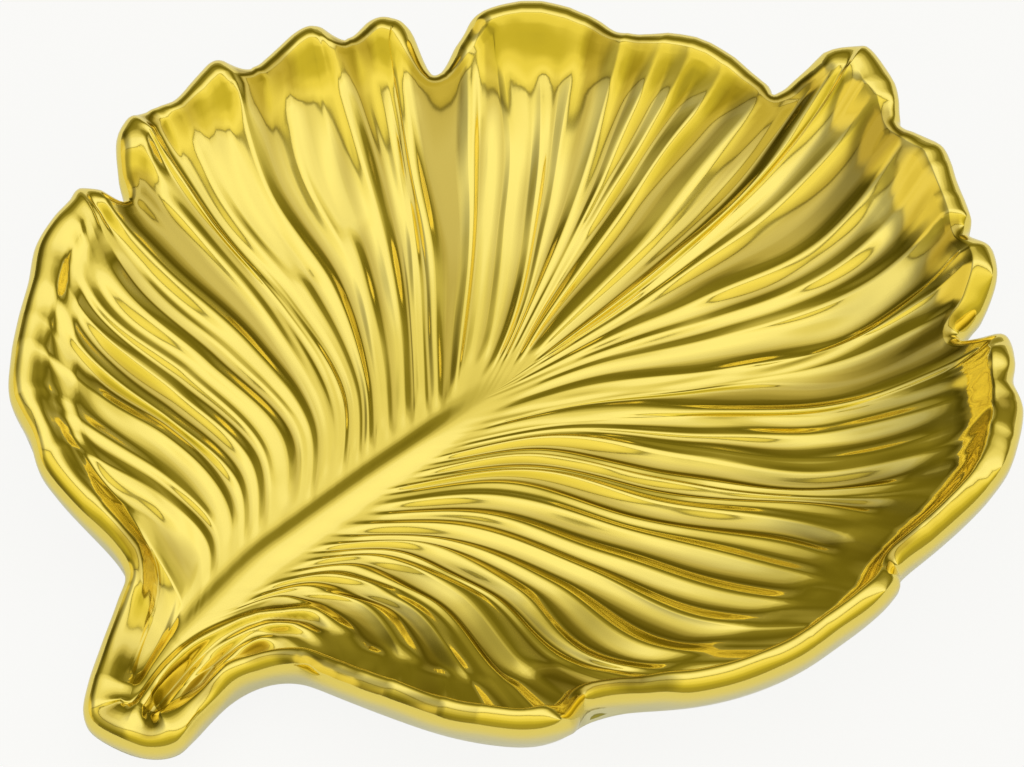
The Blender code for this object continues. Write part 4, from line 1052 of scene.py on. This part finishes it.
@dataclass
class Studio:
    """White table, and a room lit over an arc, with a darker left side and a window in it."""

    table_size: float = 3.0
    table_light: float = 0.88
    mirrored_light: float = 0.35
    paper_colour: str = "#F2F2F2"
    dark_side: float = 0.42
    dark_span: tuple[float, float] = (0.45, 0.80)
    window_light: float = 0.85
    window_span: tuple[float, float] = (0.80, 0.93)
    window_colour: str = "#FFF0A0"

    def build(self) -> bpy.types.Object:
        """The table and the room's light.

        Returns:
            The table, which is stage and not part of the object.
        """
        bpy.ops.mesh.primitive_plane_add(size=self.table_size)
        table = bpy.context.object
        table.name = table.data.name = "white_table"
        material = bpy.data.materials.new("white_paper_table")
        material.use_nodes = True
        tree = material.node_tree
        tree.nodes.clear()
        paper = add_node(tree, "ShaderNodeBsdfDiffuse", Color=linear(self.paper_colour))
        glow = add_node(tree, "ShaderNodeEmission", Color=WHITE, Strength=1.0)
        mixed = add_node(tree, "ShaderNodeMixShader", i0=self.seen(tree), i1=paper, i2=glow)
        add_node(tree, "ShaderNodeOutputMaterial", Surface=mixed)
        table.data.materials.append(material)
        self.light_room()
        return table

    def seen(self, tree: Tree) -> bpy.types.Node:
        """How much of the table's own light shows: most to the camera, less in metal and glass.

        Args:
            tree: The table's nodes.

        Returns:
            The node that gives the share.
        """
        path = add_node(tree, "ShaderNodeLightPath").outputs
        larger, times = {"operation": "MAXIMUM"}, {"operation": "MULTIPLY"}
        glossy, through = path["Is Glossy Ray"], path["Is Transmission Ray"]
        mirrored = add_node(tree, "ShaderNodeMath", larger, i0=glossy, i1=through)
        dimmed = add_node(tree, "ShaderNodeMath", times, i0=mirrored, i1=self.mirrored_light)
        straight = add_node(tree, "ShaderNodeMath", times, i0=path["Is Camera Ray"], i1=self.table_light)
        return add_node(tree, "ShaderNodeMath", larger, i0=straight, i1=dimmed)

    def light_room(self) -> None:
        """Sets the world: white to the camera, and the room's light for everything else."""
        world = bpy.data.worlds.new("studio")
        bpy.context.scene.world = world
        world.use_nodes = True
        tree = world.node_tree
        tree.nodes.clear()
        way = add_node(tree, "ShaderNodeTexCoord").outputs["Generated"]
        turn = View.TURN.value
        towards = (math.sin(turn), -math.cos(turn), 0.0)
        leftwards = (-math.cos(turn), -math.sin(turn), 0.0)
        dot = {"operation": "DOT_PRODUCT"}
        front, left = (
            add_node(tree, "ShaderNodeVectorMath", dot, i0=way, i1=direction).outputs["Value"]
            for direction in (towards, leftwards)
        )
        up = add_node(tree, "ShaderNodeSeparateXYZ", Vector=way).outputs["Z"]
        arc = add_node(tree, "ShaderNodeMath", {"operation": "ARCTAN2"}, i0=up, i1=front)
        share = add_node(tree, "ShaderNodeMath", {"operation": "DIVIDE"}, i0=arc, i1=math.pi)
        ramp = add_node(tree, "ShaderNodeValToRGB", Fac=share)
        band = ramp.color_ramp
        band.interpolation = "EASE"
        for number, (degrees, level, warmth) in enumerate(ROOM_LEVELS):
            stop = band.elements[number] if number < 2 else band.elements.new(degrees / 180)
            stop.position = degrees / 180
            green, blue = (level * (1 - loss * warmth) for loss in (WARM_GREEN_LOSS, WARM_BLUE_LOSS))
            stop.color = (level, green, blue, 1.0)
        smooth = {"interpolation_type": "SMOOTHSTEP"}
        changes = (*self.dark_span, 1.0, self.dark_side), (*self.window_span, 0.0, self.window_light)
        dim, window = (
            add_node(tree, "ShaderNodeMapRange", smooth, i0=left, i1=a, i2=b, i3=off, i4=on).outputs[0]
            for a, b, off, on in changes
        )
        warm = linear(self.window_colour)
        light = add_node(tree, "ShaderNodeMath", {"operation": "MAXIMUM"}, i0=dim, i1=window)
        tint = add_node(tree, "ShaderNodeMixRGB", Fac=window, Color1=ramp, Color2=warm)
        room = add_node(tree, "ShaderNodeBackground", Color=tint, Strength=light)
        white = add_node(tree, "ShaderNodeBackground", Color=WHITE, Strength=1.0)
        seen = add_node(tree, "ShaderNodeLightPath").outputs["Is Camera Ray"]
        mixed = add_node(tree, "ShaderNodeMixShader", i0=seen, i1=room, i2=white)
        add_node(tree, "ShaderNodeOutputWorld", Surface=mixed)


@dataclass
class Camera:
    """The photographer's camera."""

    lens: float = 105.0
    sensor: float = 36.0
    distance: float = 0.44
    target: tuple[float, float, float] = (0.0017, 0.0018, 0.013)
    nearest: float = 0.01

    def build(self) -> bpy.types.Object:
        """Aims the camera at the dish and makes it the scene's own.

        Returns:
            The camera.
        """
        turn, height = View.TURN.value, View.HEIGHT.value
        level = math.cos(height)
        back = Vector((math.sin(turn) * level, -math.cos(turn) * level, math.sin(height)))
        bpy.ops.object.camera_add(location=Vector(self.target) + back * self.distance)
        camera = bpy.context.object
        camera.rotation_euler = back.to_track_quat("Z", "Y").to_euler()
        camera.data.lens = self.lens
        camera.data.sensor_width = self.sensor
        camera.data.sensor_fit = "HORIZONTAL"
        camera.data.clip_start = self.nearest
        bpy.context.scene.camera = camera
        return camera


def main() -> None:
    """Builds the dish, its pads, the studio and the camera."""
    logging.basicConfig(level=logging.INFO, format="%(name)s: %(message)s")
    dish = LeafDish().build(GoldLustre())
    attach(dish, "root")
    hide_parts("leaf_dish")
    LOG.info("dish: %d faces", len(dish.data.polygons))
    for number, pad in enumerate(BumperPads().build(ClearRubber()), start=1):
        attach(pad, "root")
        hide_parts(f"bumper_pad_{number}")
        LOG.info("pad %d: %d faces", number, len(pad.data.polygons))
    Studio().build()
    Camera().build()
    bpy.context.scene.view_settings.view_transform = "Standard"


if __name__ == "__main__":
    main()
